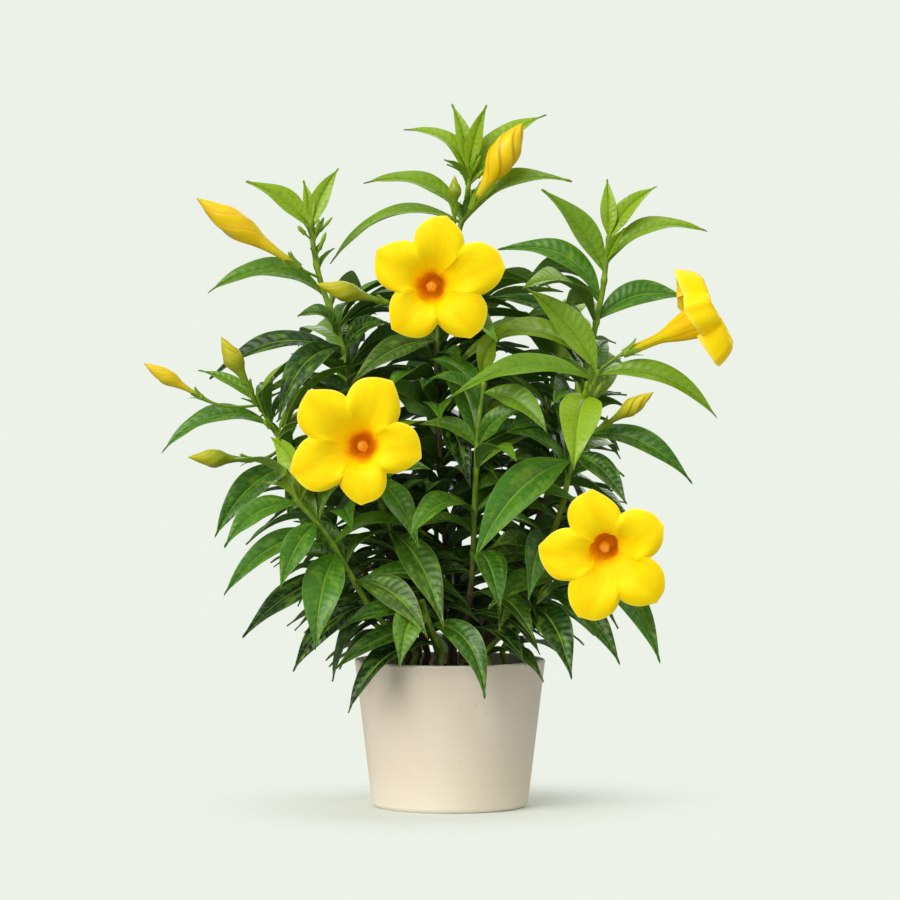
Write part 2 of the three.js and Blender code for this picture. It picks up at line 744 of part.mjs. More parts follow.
// Stems first, with the leaves that are placed by hand.
const plant = {};
for (const [name, stem] of Object.entries(STEMS)) {
  const curve = stemCurve(stem);
  const up = (angle) => new THREE.Vector3(0, -Math.sin(angle), Math.cos(angle));
  const leaves = stem.leaves.map(([height, tip, width, arch, turn]) => {
    const face = up(THREE.MathUtils.degToRad(turn));
    const inside = LEAF_ROOT * stemRadius(stem, curve, height);
    return makeLeaf(stemAt(curve, height), v3(tip), width, arch, face, inside);
  });
  plant[name] = { curve, leaves, stalks: [] };
  addBalls(name, curveBalls(curve, stem.radius, STEM_BALLS));
  leaves.forEach((leaf) => addBalls(name, leafBalls(leaf)));
}

// Then the blooms and buds, each with its stalk.
for (const [name, bloom] of Object.entries(BLOOMS)) {
  const { curve, stalks } = plant[bloom.stem];
  stalks.push({ start: stemAt(curve, bloom.from), calyx: bloomCalyx(bloom), size: 1 });
  addBalls(name, bloomBalls(bloom));
  if (Math.abs(v3(bloom.facing).y) > 0.5) addBalls(name, sightBalls(bloom));
}
for (const [name, bud] of Object.entries(BUDS)) {
  const { curve, stalks } = plant[bud.stem];
  const size = bud.width > LARGE_BUD ? 1 : SMALL_CALYX;
  stalks.push({ start: stemAt(curve, bud.from), calyx: budCalyx(bud), size });
  addBalls(name, curveBalls(new THREE.LineCurve3(v3(bud.base), v3(bud.tip)), 0.5 * bud.width + 1, BUD_BALLS));
}
for (const { stalks } of Object.values(plant)) {
  for (const { start, calyx, size } of stalks) {
    addBalls("stalks", curveBalls(stalkCurve(start, calyx), 2, STALK_BALLS).slice(1));
    const centre = calyx.cup.clone().addScaledVector(calyx.axis, 5 * size);
    addBalls("stalks", [{ centre, radius: 8 * size, t: 1 }]);
  }
}

// A leaf that the rule tries: it leaves the stem at `base` in about the direction of its slot in the whorl,
// climbs less the older it is, and turns its upper face up and away from the middle of the plant.
function drawLeaf(random, base, slot, age, young, inside) {
  const azimuth = (slot / WHORL_LEAVES) * 2 * Math.PI + (random() - 0.5) * AZIMUTH_SPREAD;
  const climb = TOP_CLIMB - CLIMB_LOSS * age + (random() - 0.5) * CLIMB_SPREAD;
  const length = FILL_LENGTH * (LENGTH_RANGE[0] + LENGTH_RANGE[1] * random()) * (young ? YOUNG_LENGTH : 1);
  const lean = LEAN_RANGE[0] + LEAN_RANGE[1] * random();
  const along = new THREE.Vector3(Math.cos(azimuth), Math.sin(azimuth), 0).multiplyScalar(Math.cos(climb));
  along.z += Math.sin(climb);
  const tip = base.clone().addScaledVector(along, length);
  const outward = new THREE.Vector3(base.x + tip.x, base.y + tip.y, 0).normalize();
  const up = outward.multiplyScalar(Math.sin(lean)).setZ(Math.cos(lean));
  return makeLeaf(base, tip, FILL_SLENDERNESS * length, FILL_ARCH * length, up, inside);
}

// Last the rule's leaves, in whorls down each stem, each in the first place of a few tries that is free.
const random = randomStream(SEED);
for (const name of Object.keys(STEMS)) {
  const { curve, leaves } = plant[name];
  const top = curve.getPoint(1).z;
  const whorls = Math.floor((top - WHORL_FOOT) / WHORL_SPACING);
  for (let w = 0; w <= whorls; w++) {
    const height = top - 2 - w * WHORL_SPACING;
    const base = stemAt(curve, height);
    const inside = LEAF_ROOT * stemRadius(STEMS[name], curve, height);
    const age = w / Math.max(1, whorls);
    for (let k = 0; k < WHORL_LEAVES; k++) {
      for (let attempt = 0; attempt < WHORL_TRIES; attempt++) {
        const leaf = drawLeaf(random, base, k + 0.5 * (w % 2), age, w === 0, inside);
        const balls = leafBalls(leaf);
        if (!inCrown(balls, leaf.curve.v2) || !fits(balls, name)) continue;
        leaves.push(leaf);
        addBalls(name, balls);
        break;
      }
    }
  }
}

function makeStem(name) {
  const { curve, leaves, stalks } = plant[name];
  const spans = curve.points.length - 1;
  const steps = [0, 2 / spans, 3 / spans];
  for (let i = 7; i <= 2 * spans; i++) steps.push(i / (2 * spans));
  const forward = new THREE.Vector3(0, -1, 0);
  const stem = taperedTube(curve, steps, STEMS[name].radius, STEM_TIP_RADIUS, STEM_SIDES, forward);
  const pieces = [stem, ...leaves.map(leafGeometry)];
  for (const { start, calyx, size } of stalks) pieces.push(...stalkPieces(start, calyx, size));
  return geometryOf(outerBody(pieces.map(solid).reduce((joined, piece) => joined.add(piece))));
}

const COLOURS = {
  pot: { color: 0xe2d6c2, roughness: 0.55 },
  soil: { color: 0x2a1d14, roughness: 0.95 },
  leaf: { color: 0x3f7a1f, roughness: 0.4 },
  petal: { color: 0xf8d80c, roughness: 0.5 },
  bud: { color: 0xe0c81c, roughness: 0.5 },
};

const allamanda = new THREE.Group();

function addPiece(name, geometry, finish) {
  const material = new THREE.MeshStandardMaterial({ ...COLOURS[finish], metalness: 0 });
  const mesh = new THREE.Mesh(geometry, material);
  mesh.name = name;
  allamanda.add(mesh);
}

addPiece("pot", makePot(), "pot");
addPiece("soil", makeSoil(), "soil");
for (const name of Object.keys(STEMS)) addPiece(name, makeStem(name), "leaf");
for (const [name, bloom] of Object.entries(BLOOMS)) addPiece(name, makeBloom(bloom), "petal");
for (const [name, bud] of Object.entries(BUDS)) addPiece(name, makeBud(bud), "bud");

export default allamanda;
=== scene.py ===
"""A potted allamanda: fine leaves, blooms, buds, stems, soil and pot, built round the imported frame.

Lengths are worked out in millimetres and put into the meshes in metres. +Z is up, and most blooms face -Y.
"""

import functools
import math

import bpy
import numpy as np
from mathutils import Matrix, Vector


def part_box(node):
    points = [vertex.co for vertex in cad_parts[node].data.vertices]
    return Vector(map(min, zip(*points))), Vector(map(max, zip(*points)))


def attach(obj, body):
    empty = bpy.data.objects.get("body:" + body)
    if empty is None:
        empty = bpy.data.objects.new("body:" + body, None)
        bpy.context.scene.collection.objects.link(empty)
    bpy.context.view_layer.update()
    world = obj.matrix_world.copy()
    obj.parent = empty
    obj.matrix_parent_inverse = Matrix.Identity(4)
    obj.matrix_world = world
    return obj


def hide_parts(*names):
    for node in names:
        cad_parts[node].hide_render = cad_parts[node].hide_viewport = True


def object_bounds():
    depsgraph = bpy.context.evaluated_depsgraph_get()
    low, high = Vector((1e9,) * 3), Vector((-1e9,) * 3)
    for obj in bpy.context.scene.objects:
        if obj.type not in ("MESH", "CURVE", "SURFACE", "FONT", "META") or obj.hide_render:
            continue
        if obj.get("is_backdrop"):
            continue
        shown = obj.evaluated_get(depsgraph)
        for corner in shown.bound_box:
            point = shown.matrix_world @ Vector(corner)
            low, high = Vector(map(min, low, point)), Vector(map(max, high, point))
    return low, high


bl_info = {
    "name": "Potted allamanda",
    "version": (1, 0, 0),
    "blender": (4, 5, 0),
    "location": "3D View > Sidebar > Allamanda",
    "description": "Builds the leaves, blooms, buds, stems, soil and pot of a potted allamanda",
    "category": "Add Mesh",
}

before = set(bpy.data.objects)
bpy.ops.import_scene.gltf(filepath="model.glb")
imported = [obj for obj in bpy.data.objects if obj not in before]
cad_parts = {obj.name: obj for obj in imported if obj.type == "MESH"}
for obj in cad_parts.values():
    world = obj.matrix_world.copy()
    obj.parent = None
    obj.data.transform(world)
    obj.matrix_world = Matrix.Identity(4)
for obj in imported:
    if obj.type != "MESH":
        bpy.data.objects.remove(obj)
CAD_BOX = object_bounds()

MM = 0.001
MASK = 0xFFFFFFFF
STREAM_STEP = 0x6D2B79F5
BODY = "root"

# Pot and soil
POT_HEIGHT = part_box("pot")[1].z / MM
POT_TOP_RADIUS = 62
POT_BASE_RADIUS = 50.5
POT_WALL = 5
POT_FLOOR = 7
FOOT_BEVEL = 2.4
RIM_ROUND = 1.4
DRAIN_HOLES = 4
DRAIN_RADIUS = 4.5
DRAIN_CIRCLE = 27
SOIL_EDGE = 87
SOIL_CROWN = 90
SEAT_GAP = 0.3
INNER_DISC = 30
SOIL_MIDDLE = 50
SOIL_SIDES = 150
SOIL_ROWS = 58
DRAIN_SIDES = 32
DRAIN_CUT = (-6, 14)

# The soil's unevenness as sums of waves: height, how many, the shortest and the longest, and the seed
SOIL_WAVES = [(0.9, 9, 22, 60, 3), (0.55, 14, 5, 12, 4), (0.22, 18, 1.8, 4, 5)]
CRUMB_SEED = 11
CRUMB_SIDES = 6
CRUMB_RINGS = np.radians(np.array([-52, -8, 36]))

# Stems, stalks and calyces
HOLE_BOTTOM = 62
STEM_FOOT = [78, 93, 104]
STEM_TIP_RADIUS = 1.1
WOOD_TIP_RADIUS = 1.6
STALK_RADIUS = 1.1
STALK_BEND = 0.45
STALK_SUNK = 1.1
CUP_RADIUS = 2.1
CUP_LINE = [[-0.2, 2.6], [0.9, 3.1], [2.4, 3.0]]
SEPAL_LENGTH = 11
SMALL_CALYX = 0.7
LARGE_BUD = 14
WOOD_SIDES = 12
WOOD_ROWS = 26
WHORL_SWELL = 0.3
SWELL_LENGTH = 2.2
BARK_REACH = 190
STALK_SIDES = 10
STALK_ROWS = 16
SEPAL_ROWS = 9
SEPAL_COLUMNS = 7

# A young bud on its stalk as [share, radius, radius for each millimetre of width]. The stalk ends at share 1.
YOUNG_BUD_SIDES = 8
YOUNG_BUD_LINE = [
    [0, 0.8, 0], [0.35, 0.65, 0], [0.7, 0.6, 0], [1, 0.75, 0], [1.12, 0, 1.15], [1.4, 0, 0.9],
    [1.62, 0, 1.1], [1.82, 0, 0.8], [1.95, 0, 0.4], [2, 0.12, 0],
]

# Leaves
PETIOLE_HALF = 0.8
LEAF_ROOT = 0.5
LEAF_BEND = 0.45
LEAF_WIDEST = 0.92
LEAF_POINT = 1.25
LEAF_FOLD = 0.28
LARGE_LEAF = 25
LARGE_LEAF_YOUTH = 0.3
AGE_REACH = 120
AGE_TOP = 365
AGE_DROP = 420
FINE_BLADE = (44, 13)
PLAIN_BLADE = (16, 7)
SPRIG_SLENDERNESS = 0.3
SPRIG_ARCH = 0.08

# Blooms: the line of the tube and throat as [radius, distance in front of the mouth], the edge of a lobe as
# [degrees from its middle, radius], with a small point at one side, and the style and anthers in the throat
BLOOM_DEPTH = 56
BLOOM_LOBES = 5
THROAT_RADIUS = 11
THROAT_DROP = 5.5
THROAT_EASE = 0.17
TUBE_LINE = [
    [2.2, -56], [2.4, -44], [2.8, -33], [4.4, -26.5], [6.4, -21], [8, -15.5], [9.2, -10.5], [11, -5.5],
]
LOBE_EDGE = [
    [-37, 28], [-33, 31], [-27, 34.4], [-18, 38.6], [-10, 41.8], [-5.5, 43.9], [-2, 43.2], [8, 42.2],
    [17, 40], [25, 36.8], [31, 33], [37, 28],
]
LOBE_FLARE = 7.5
LOBE_TURN = 2.1
LOBE_ROLL = 3.5
LOBE_OVERLAP = 2.2
TUBE_ROWS = 22
LOBE_ROWS = 28
LOBE_COLUMNS = 27
KNOB_ROWS = 36
KNOB_SIDES = 40
KNOB_LINE = [
    [0.5, -46], [0.5, -34], [3.6, -30], [4.3, -27.5], [3.4, -25.5], [1.8, -22.5], [1.7, -18], [2.5, -14.8],
    [3.2, -11.8], [3.3, -9.4], [2.8, -7.4], [1.7, -6], [0.2, -5.5],
]
TUBE_PROFILE = [[2.2, 56], [2.6, 33], [6.5, 21], [9.6, 9]]

# Buds: [share of the way to the tip, radius as a share of the largest]
BUD_ROWS = 64
BUD_SIDES = 100
BUD_TURN = 0.75
BUD_LINE = [
    [0, 0.27], [0.2, 0.31], [0.36, 0.52], [0.49, 0.86], [0.6, 1], [0.74, 0.9], [0.88, 0.5], [1, 0.04],
]

# The rule that fills the crown with leaves
SEED = 401
WHORL_SPACING = 27
WHORL_FOOT = 100
TIP_GAP = 2
WHORL_LEAVES = 4
WHORL_TRIES = 10
FILL_LENGTH = 76
FILL_SLENDERNESS = 0.29
FILL_ARCH = 0.18
YOUNG_LENGTH = 0.72
LENGTH_RANGE = [0.8, 0.35]
LEAN_RANGE = [0.45, 0.5]
TOP_CLIMB = 0.7
CLIMB_LOSS = 1.2
CLIMB_SPREAD = 0.8
AZIMUTH_SPREAD = 1.5

# The room that each piece takes, as balls
CLEARANCE = 0.8
OWN_ROOM = 0.2
LEAF_BALLS = 12
LEAF_BALL_SHARES = [-0.66, 0, 0.66]
STEM_BALLS = 60
STALK_BALLS = 6
BUD_BALLS = 8
BLOOM_BALLS = 15
BLOOM_BALL_RINGS = [10, 16, 22, 28, 34, 40]
SIGHT_DEPTHS = [12, 24, 36, 48]
SIGHT_RINGS = [[34, 9], [14, 12]]
SIGHT_BALLS = 12
STALK_ROOM = 2
CUP_ROOM = 8
CUP_ROOM_RISE = 5
RIM_CLEARANCE = 3
RIM_LIFT = 2

# The leaves that are added between the whorls, deep in the crown: in the second pass they are larger,
# closer together and further back. A negative clearance is how far the balls of two leaves may overlap, front
# is the furthest forward that a tip may be, and size is the smallest share of the length that the rule gives.
INNER_LEAVES = 8
INNER_SPREAD = 0.3
INNER_PASSES = [
    dict(seed=97, tries=12, clearance=-1.4, front=-66, size=0.6),
    dict(seed=131, tries=8, clearance=-3.2, front=-14, size=0.9),
]

# Leafy stems: where each leaves the soil, its radius, the points that it passes, and its listed leaves as
# (height on the stem, tip, width, arch, turn of the upper face towards -Y in degrees).
STEMS = {
    "stem_top": dict(
        root=(2, 2), radius=2.8,
        path=[(-2, 3, 160), (-7, 3, 238), (-8, 2, 303), (0, 3, 355), (9, 3, 385), (13, 2, 412)],
        leaves=[
            (410, (1, 8, 457), 11, 3, 80), (410, (24, -6, 456), 11, 3, 70),
            (406, (-30, 6, 440), 14, 12, 35),
            (384, (-56, -4, 405), 16, 12, 40), (402, (63, 14, 450), 18, 8, 45),
            (376, (79, -8, 406), 17, 16, 42),
            (380, (-78, 10, 353), 16, 18, 25), (303, (-63, -48, 276), 17, 8, 60),
            (258, (13, -54, 209), 17, 9, 62),
        ],
    ),
    "stem_upper_left": dict(
        root=(-16, 6), radius=2.6,
        path=[(-35, 6, 160), (-57, 4, 232), (-69, 0, 297), (-84, -6, 342), (-89, -8, 368), (-90, -8, 381)],
        leaves=[
            (375, (-132, -14, 406), 15, 5, 55), (380, (-95, -4, 407), 7, 1, 80),
            (375, (-72, -2, 415), 12, 3, 75),
            (332, (-157, -6, 334), 18, 16, 38), (304, (-98, -34, 319), 15, 9, 50),
            (299, (-110, -46, 252), 19, 14, 60), (297, (-40, -30, 315), 15, 6, 60),
            (294, (-156, -4, 278), 17, 16, 40),
        ],
    ),
    "stem_left": dict(
        root=(-28, -5), radius=2.4,
        path=[(-48, -8, 141), (-78, -12, 187), (-97, -16, 219), (-115, -20, 248), (-125, -22, 266)],
        leaves=[
            (248, (-186, -24, 231), 16, 15, 42), (224, (-151, -44, 177), 19, 9, 62),
            (214, (-104, -52, 190), 13, 5, 60), (262, (-163, -14, 284), 9, 4, 50),
        ],
    ),
    "stem_low_left": dict(
        root=(-24, -23), radius=2.2,
        path=[(-48, -40, 128), (-67, -53, 160), (-80, -63, 182), (-98, -73, 203)],
        leaves=[
            (200, (-143, -84, 173), 17, 9, 50), (182, (-143, -92, 143), 17, 10, 52),
            (154, (-132, -76, 115), 17, 9, 55), (168, (-85, -100, 109), 26, 12, 75),
            (134, (-100, -72, 93), 16, 9, 60), (188, (-107, -104, 148), 18, 6, 65),
            (150, (-14, -92, 116), 20, 10, 62),
        ],
    ),
    "stem_left_bloom": dict(
        root=(-9, -12), radius=2.2,
        path=[(-26, -20, 150), (-42, -26, 190), (-52, -26, 224)],
        leaves=[(214, (-20, -72, 172), 17, 8, 62), (180, (-4, -82, 122), 22, 10, 65)],
    ),
    "stem_middle": dict(
        root=(8, -20), radius=2.4,
        path=[(14, -34, 150), (16, -42, 200), (18, -40, 245), (22, -38, 277)],
        leaves=[(270, (62, -64, 245), 18, 8, 55)],
    ),
    "stem_upper_right": dict(
        root=(17, 8), radius=2.6,
        path=[(46, 8, 160), (69, 4, 218), (88, 0, 284), (98, -2, 330), (101, -4, 352), (103, -4, 371)],
        leaves=[
            (346, (59, -10, 401), 17, 6, 62), (369, (102, 2, 408), 11, 3, 80),
            (367, (134, -8, 403), 13, 5, 65),
            (352, (167, -2, 374), 16, 14, 35), (354, (113, -20, 376), 7, 2, 70),
            (330, (31, 6, 362), 18, 15, 48),
            (316, (156, 4, 330), 20, 10, 55), (300, (24, -16, 331), 14, 10, 50),
        ],
    ),
    "stem_right": dict(
        root=(25, -7), radius=2.4,
        path=[(50, -20, 146), (70, -32, 190), (80, -38, 235), (88, -40, 266), (95, -41, 285)],
        leaves=[
            (281, (171, -50, 254), 17, 14, 50), (242, (155, -54, 212), 17, 13, 50),
            (268, (78, -94, 222), 27, 12, 62), (230, (112, -78, 200), 16, 7, 60),
            (226, (15, -106, 166), 27, 13, 68), (278, (1, -68, 268), 18, 14, 46),
            (284, (0, -18, 283), 17, 27, 40),
            (283, (49, -36, 337), 20, 6, 65),
        ],
    ),
    "stem_right_bloom": dict(
        root=(25, -24), radius=2.2,
        path=[(52, -32, 132), (76, -34, 154), (96, -30, 170)],
        leaves=[
            (132, (77, -92, 90), 22, 12, 65), (142, (108, -78, 98), 17, 10, 60),
            (160, (134, -66, 98), 18, 12, 60), (150, (24, -98, 135), 17, 8, 55),
        ],
    ),
    "stem_front": dict(
        root=(-6, -34), radius=2,
        path=[(-12, -50, 120), (-18, -62, 138)],
        leaves=[
            (128, (-71, -74, 120), 14, 8, 50), (118, (-74, -74, 94), 14, 8, 50),
            (134, (-32, -98, 98), 20, 10, 65), (122, (22, -88, 77), 18, 16, 70),
        ],
    ),
    "stem_back_left": dict(
        root=(-22, 24), radius=2.4, path=[(-40, 36, 160), (-56, 48, 225), (-66, 54, 280), (-70, 56, 318)],
        leaves=[]
    ),
    "stem_back": dict(
        root=(2, 20), radius=2.4, path=[(6, 36, 170), (8, 48, 245), (8, 54, 310), (6, 56, 352)], leaves=[]
    ),
    "stem_back_right": dict(
        root=(22, 26), radius=2.4, path=[(42, 42, 160), (58, 54, 225), (68, 60, 275), (74, 62, 308)],
        leaves=[]
    ),
    "stem_low_back": dict(
        root=(0, 37), radius=2.2, path=[(-4, 54, 128), (-8, 70, 158), (-10, 82, 190)], leaves=[]
    ),
    "stem_low_back_left": dict(
        root=(-35, 12), radius=2.2, path=[(-58, 26, 126), (-80, 40, 156), (-92, 48, 186)], leaves=[]
    ),
    "stem_low_back_right": dict(
        root=(36, 12), radius=2.2, path=[(60, 26, 128), (82, 38, 158), (96, 44, 190)], leaves=[]
    ),
}

# Blooms: the stem that carries each, the height of its stalk there, the middle of its mouth, the way that it
# faces, and the angle of its first lobe, seen from the front and counted from the right. The lobes of the one
# at the right spread less than on the others, arch further forward and roll back more. `lobes` is how long
# each lobe is beside the rule, `curl` how far its end bends forward, and `rim` and `throat` how far the rim
# and the throat lie to the right and up of the middle.
BLOOMS = {
    "bloom_top": dict(
        stem="stem_top", start=322, mouth=(-10, -62, 340), facing=(-0.08, -0.98, -0.12), turn=88,
        lobes=(0.95, 1, 1, 0.98, 1), curl=(1.2, -1.5, 0.6, -1, 0), rim=(3, 3), throat=(-2.7, -2.9),
    ),
    "bloom_left": dict(
        stem="stem_left_bloom", start=216, mouth=(-59, -100, 239), facing=(0.03, -0.99, -0.06), turn=65,
        lobes=(1.04, 1.02, 1.03, 0.9, 0.97), curl=(-1, 1.4, -2, 1, -0.5), rim=(-0.6, 1), throat=(4.2, -2.1),
    ),
    "bloom_low_right": dict(
        stem="stem_right_bloom", start=164, mouth=(102, -102, 169), facing=(-0.2, -0.96, -0.14), turn=106,
        lobes=(1, 1, 1, 1, 0.98), curl=(0.5, -1.6, 1, -1.2, 1.2), rim=(-3.2, 0), throat=(-6.4, 3.6),
    ),
    "bloom_right": dict(
        stem="stem_right", start=280, mouth=(163, -48, 318), facing=(0.91, -0.08, 0.4), turn=96,
        spread=0.8, flare=17, roll=13, lobes=(1.04, 1, 1.02, 1.02, 1), curl=(-6, -9, -6, -2, -16),
        rim=(0, 0), throat=(0, 0),
    ),
}

# Buds: the stem that carries each, the height of its stalk there, its base, tip and width, and its ripeness.
BUDS = {
    "bud_top": dict(stem="stem_top", start=378, base=(14, -9, 389), tip=(47, -17, 444), width=19, ripe=1.0),
    "bud_top_small": dict(
        stem="stem_top", start=370, base=(3, -12, 386), tip=(3, -14, 410), width=9, ripe=0.12
    ),
    "bud_upper_left": dict(
        stem="stem_upper_left", start=344, base=(-98, -15, 351), tip=(-163, -26, 395), width=17, ripe=1.0
    ),
    "bud_far_left": dict(
        stem="stem_left", start=262, base=(-160, -30, 267), tip=(-197, -32, 289), width=10, ripe=0.72
    ),
    "bud_left_upright": dict(
        stem="stem_left", start=264, base=(-128, -30, 271), tip=(-147, -36, 306), width=13, ripe=0.42
    ),
    "bud_left_low": dict(
        stem="stem_left", start=236, base=(-128, -34, 227), tip=(-168, -46, 229), width=12, ripe=0.35
    ),
    "bud_middle": dict(
        stem="stem_top", start=312, base=(-41, -20, 328), tip=(-86, -28, 340), width=13, ripe=0.4
    ),
    "bud_right": dict(
        stem="stem_right", start=238, base=(97, -48, 248), tip=(130, -56, 271), width=11, ripe=0.5
    ),
}

# The outline that the filling leaves keep within, seen from the front: [height, furthest left and right].
CROWN = [
    [90, -78, 80], [112, -108, 118], [150, -138, 128], [215, -146, 118],
    [255, -140, 118], [300, -112, 112], [330, -62, 96], [345, -34, 60],
]
CROWN_FRONT = -104
CROWN_BACK = 126
UP = np.array([0.0, 0.0, 1.0])
FORWARD = np.array([0.0, -1.0, 0.0])
CALYX_UP = np.array([0.2, -0.5, 0.84])

# Lights: the place that each shines from, and its colour. Their strengths are settings of the stage.
LIGHTS = {
    "key": ((-1.7, -2.0, 1.55), (1.0, 0.98, 0.94)),
    "top": ((0.2, -0.3, 2.2), (1.0, 1.0, 1.0)),
    "fill": ((2.2, -1.8, 0.7), (0.94, 0.97, 1.0)),
    "back": ((0.7, 2.2, 1.4), (1.0, 1.0, 0.98)),
}
FLOOR_HALF = 4
SENSOR_WIDTH = 36


# Lines, frames and the random stream


def random_stream(seed):
    """Numbers from 0 to 1: a 32-bit counter whose bits are mixed by shifts and products."""
    state = seed
    while True:
        state = (state + STREAM_STEP) & MASK
        mixed = ((state ^ (state >> 15)) * (state | 1)) & MASK
        mixed ^= (mixed + (((mixed ^ (mixed >> 7)) * (mixed | 61)) & MASK)) & MASK
        yield ((mixed ^ (mixed >> 14)) & MASK) / (MASK + 1)


def unit(v):
    """Vectors of length one."""
    v = np.asarray(v, float)
    return v / np.linalg.norm(v, axis=-1, keepdims=True)


def heading(azimuth, climb):
    """The unit vector at an azimuth round Z and an angle above level, both in radians."""
    level = math.cos(climb)
    return np.array([math.cos(azimuth) * level, math.sin(azimuth) * level, math.sin(climb)])


def name_draw(name):
    """Random numbers that depend on a piece's name alone."""
    return np.random.default_rng(sum(map(ord, name)))


def lerp(a, b, share):
    return (1 - share) * a + share * b


def smooth(low, high, x):
    """0 below low, 1 above high, and the cubic 3x^2 - 2x^3 between them."""
    x = np.clip((np.asarray(x, float) - low) / (high - low), 0, 1)
    return x * x * (3 - 2 * x)


def through(points, t):
    """A smooth curve through points, at shares t of its spans.

    Between two points it is the cubic whose slope at each is half the step between that point's neighbours.
    Past an end, the point before it is mirrored.
    """
    points = np.asarray(points, float)
    padded = np.vstack([2 * points[0] - points[1], points, 2 * points[-1] - points[-2]])
    place = np.clip(t, 0, 1) * (len(points) - 1)
    span = np.minimum(np.floor(place).astype(int), len(points) - 2)
    f = (place - span)[..., None]
    a, b, c, d = (padded[span + i] for i in range(4))
    start, end = 0.5 * (c - a), 0.5 * (d - b)
    return b + start * f + (3 * (c - b) - 2 * start - end) * f**2 + (2 * (b - c) + start + end) * f**3


def slope(points, t, step=1e-4):
    """The unit direction of the curve through points at t."""
    return unit(through(points, np.clip(t + step, 0, 1)) - through(points, np.clip(t - step, 0, 1)))


def across(axis, towards):
    """Two unit vectors square to an axis. The first leans as far as it can towards `towards`."""
    axis = np.asarray(axis, float)
    first = unit(towards - np.sum(towards * axis, axis=-1, keepdims=True) * axis)
    return first, np.cross(axis, first)


def rings_along(centres, axes, towards, radii, sides, wobble=None):
    """Rings of points round a line: centre + radius * (cos a * first + sin a * second), for some angles a.

    radii is one radius for each ring, and wobble, if given, multiplies it at each ring and angle.
    """
    first, second = across(axes, towards)
    angle = np.linspace(0, 2 * np.pi, sides, endpoint=False)
    reach = np.asarray(radii, float)[:, None] * (1 if wobble is None else wobble)
    out = first[:, None] * np.cos(angle)[:, None] + second[:, None] * np.sin(angle)[:, None]
    return centres[:, None] + reach[..., None] * out


class Shells:
    """Closed surfaces gathered into one mesh, with named values at each point for the materials to read."""

    def __init__(self):
        self.points = []
        self.faces = []
        self.values = {}
        self.count = 0

    def _keep(self, points, quads, corners, values):
        """Adds a shell, turned so that the volume under its faces is positive: they then point outwards."""
        fans = np.concatenate([quads[:, [0, 1, 2]], quads[:, [0, 2, 3]], corners.reshape(-1, 3)])
        a, b, c = (points[fans[:, i]] for i in range(3))
        if np.sum(a * np.cross(b, c)) < 0:
            quads, corners = quads[:, ::-1], corners[:, ::-1]
        self.points.append(points)
        self.faces += (quads + self.count).tolist() + (corners + self.count).tolist()
        for name, value in values.items():
            self.values.setdefault(name, []).append((self.count, np.broadcast_to(value, len(points))))
        self.count += len(points)

    def add_loft(self, rings, **values):
        """A shell over rows of rings, whose first and last ring close on their middle point."""
        rows, sides = rings.shape[:2]
        index = np.arange(rows * sides).reshape(rows, sides)
        turned = np.roll(index, -1, axis=1)
        quads = np.stack([index[:-1], turned[:-1], turned[1:], index[1:]], -1).reshape(-1, 4)
        start, end = rows * sides, rows * sides + 1
        low = np.stack([np.full(sides, start), turned[0], index[0]], -1)
        high = np.stack([np.full(sides, end), index[-1], turned[-1]], -1)
        poles = [rings[0].mean(0), rings[-1].mean(0)]
        points = np.concatenate([rings.reshape(-1, 3), poles])
        spread = {}
        for name, value in values.items():
            grid = np.broadcast_to(value, (rows, sides))
            spread[name] = np.concatenate([grid.reshape(-1), [grid[0].mean(), grid[-1].mean()]])
        self._keep(points, quads, np.concatenate([low, high]), spread)

    def add_slab(self, front, back, **values):
        """A shell between two grids of one shape, closed round their edge. `face` is 1 on the front."""
        rows, columns = front.shape[:2]
        index = np.arange(rows * columns).reshape(rows, columns)
        grid = np.stack([index[:-1, :-1], index[:-1, 1:], index[1:, 1:], index[1:, :-1]], -1).reshape(-1, 4)
        loop = np.concatenate([index[0, :-1], index[:-1, -1], index[-1, :0:-1], index[:0:-1, 0]])
        ahead = np.roll(loop, -1)
        size = rows * columns
        edge = np.stack([ahead, loop, loop + size, ahead + size], -1)
        quads = np.concatenate([grid, grid[:, ::-1] + size, edge])
        spread = {"face": np.repeat([1.0, 0.0], size)}
        for name, value in values.items():
            spread[name] = np.tile(np.broadcast_to(value, (rows, columns)).reshape(-1), 2)
        points = np.concatenate([front.reshape(-1, 3), back.reshape(-1, 3)])
        self._keep(points, quads, np.zeros((0, 3), int), spread)

    def build(self, name, finishes, slot, *nodes, crease=55):
        """The mesh object of all shells: smooth, but sharp at edges that turn more than crease degrees."""
        mesh = bpy.data.meshes.new(name)
        mesh.from_pydata(np.concatenate(self.points) * MM, [], self.faces)
        for key, parts in self.values.items():
            data = np.ones(self.count, np.float32)
            for start, value in parts:
                data[start:start + len(value)] = value
            mesh.attributes.new(key, "FLOAT", "POINT").data.foreach_set("value", data)
        mesh.polygons.foreach_set("use_smooth", np.ones(len(mesh.polygons), bool))
        mesh.set_sharp_from_angle(angle=math.radians(crease))
        mesh.update()
        piece = bpy.data.objects.new(name, mesh)
        bpy.context.scene.collection.objects.link(piece)
        for finish in finishes:
            mesh.materials.append(finish)
        return settle(piece, slot, *nodes)


def settle(piece, slot, *nodes):
    """The piece rides on the body and hides the nodes that it stands for. The slot is not used."""
    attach(piece, BODY)
    if nodes:
        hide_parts(*nodes)
    return piece


# Where everything grows


def stem_line(stem):
    """The points of a stem: straight up out of its hole, then its path."""
    x, y = stem["root"]
    return np.array([(x, y, z) for z in [HOLE_BOTTOM + SEAT_GAP, *STEM_FOOT]] + stem["path"], float)


def stem_at(line, height):
    """The point of a stem at a height, found by halving."""
    low, high = 0.0, 1.0
    for _ in range(30):
        middle = (low + high) / 2
        if through(line, np.float64(middle))[2] < height:
            low = middle
        else:
            high = middle
    return through(line, np.float64(low))


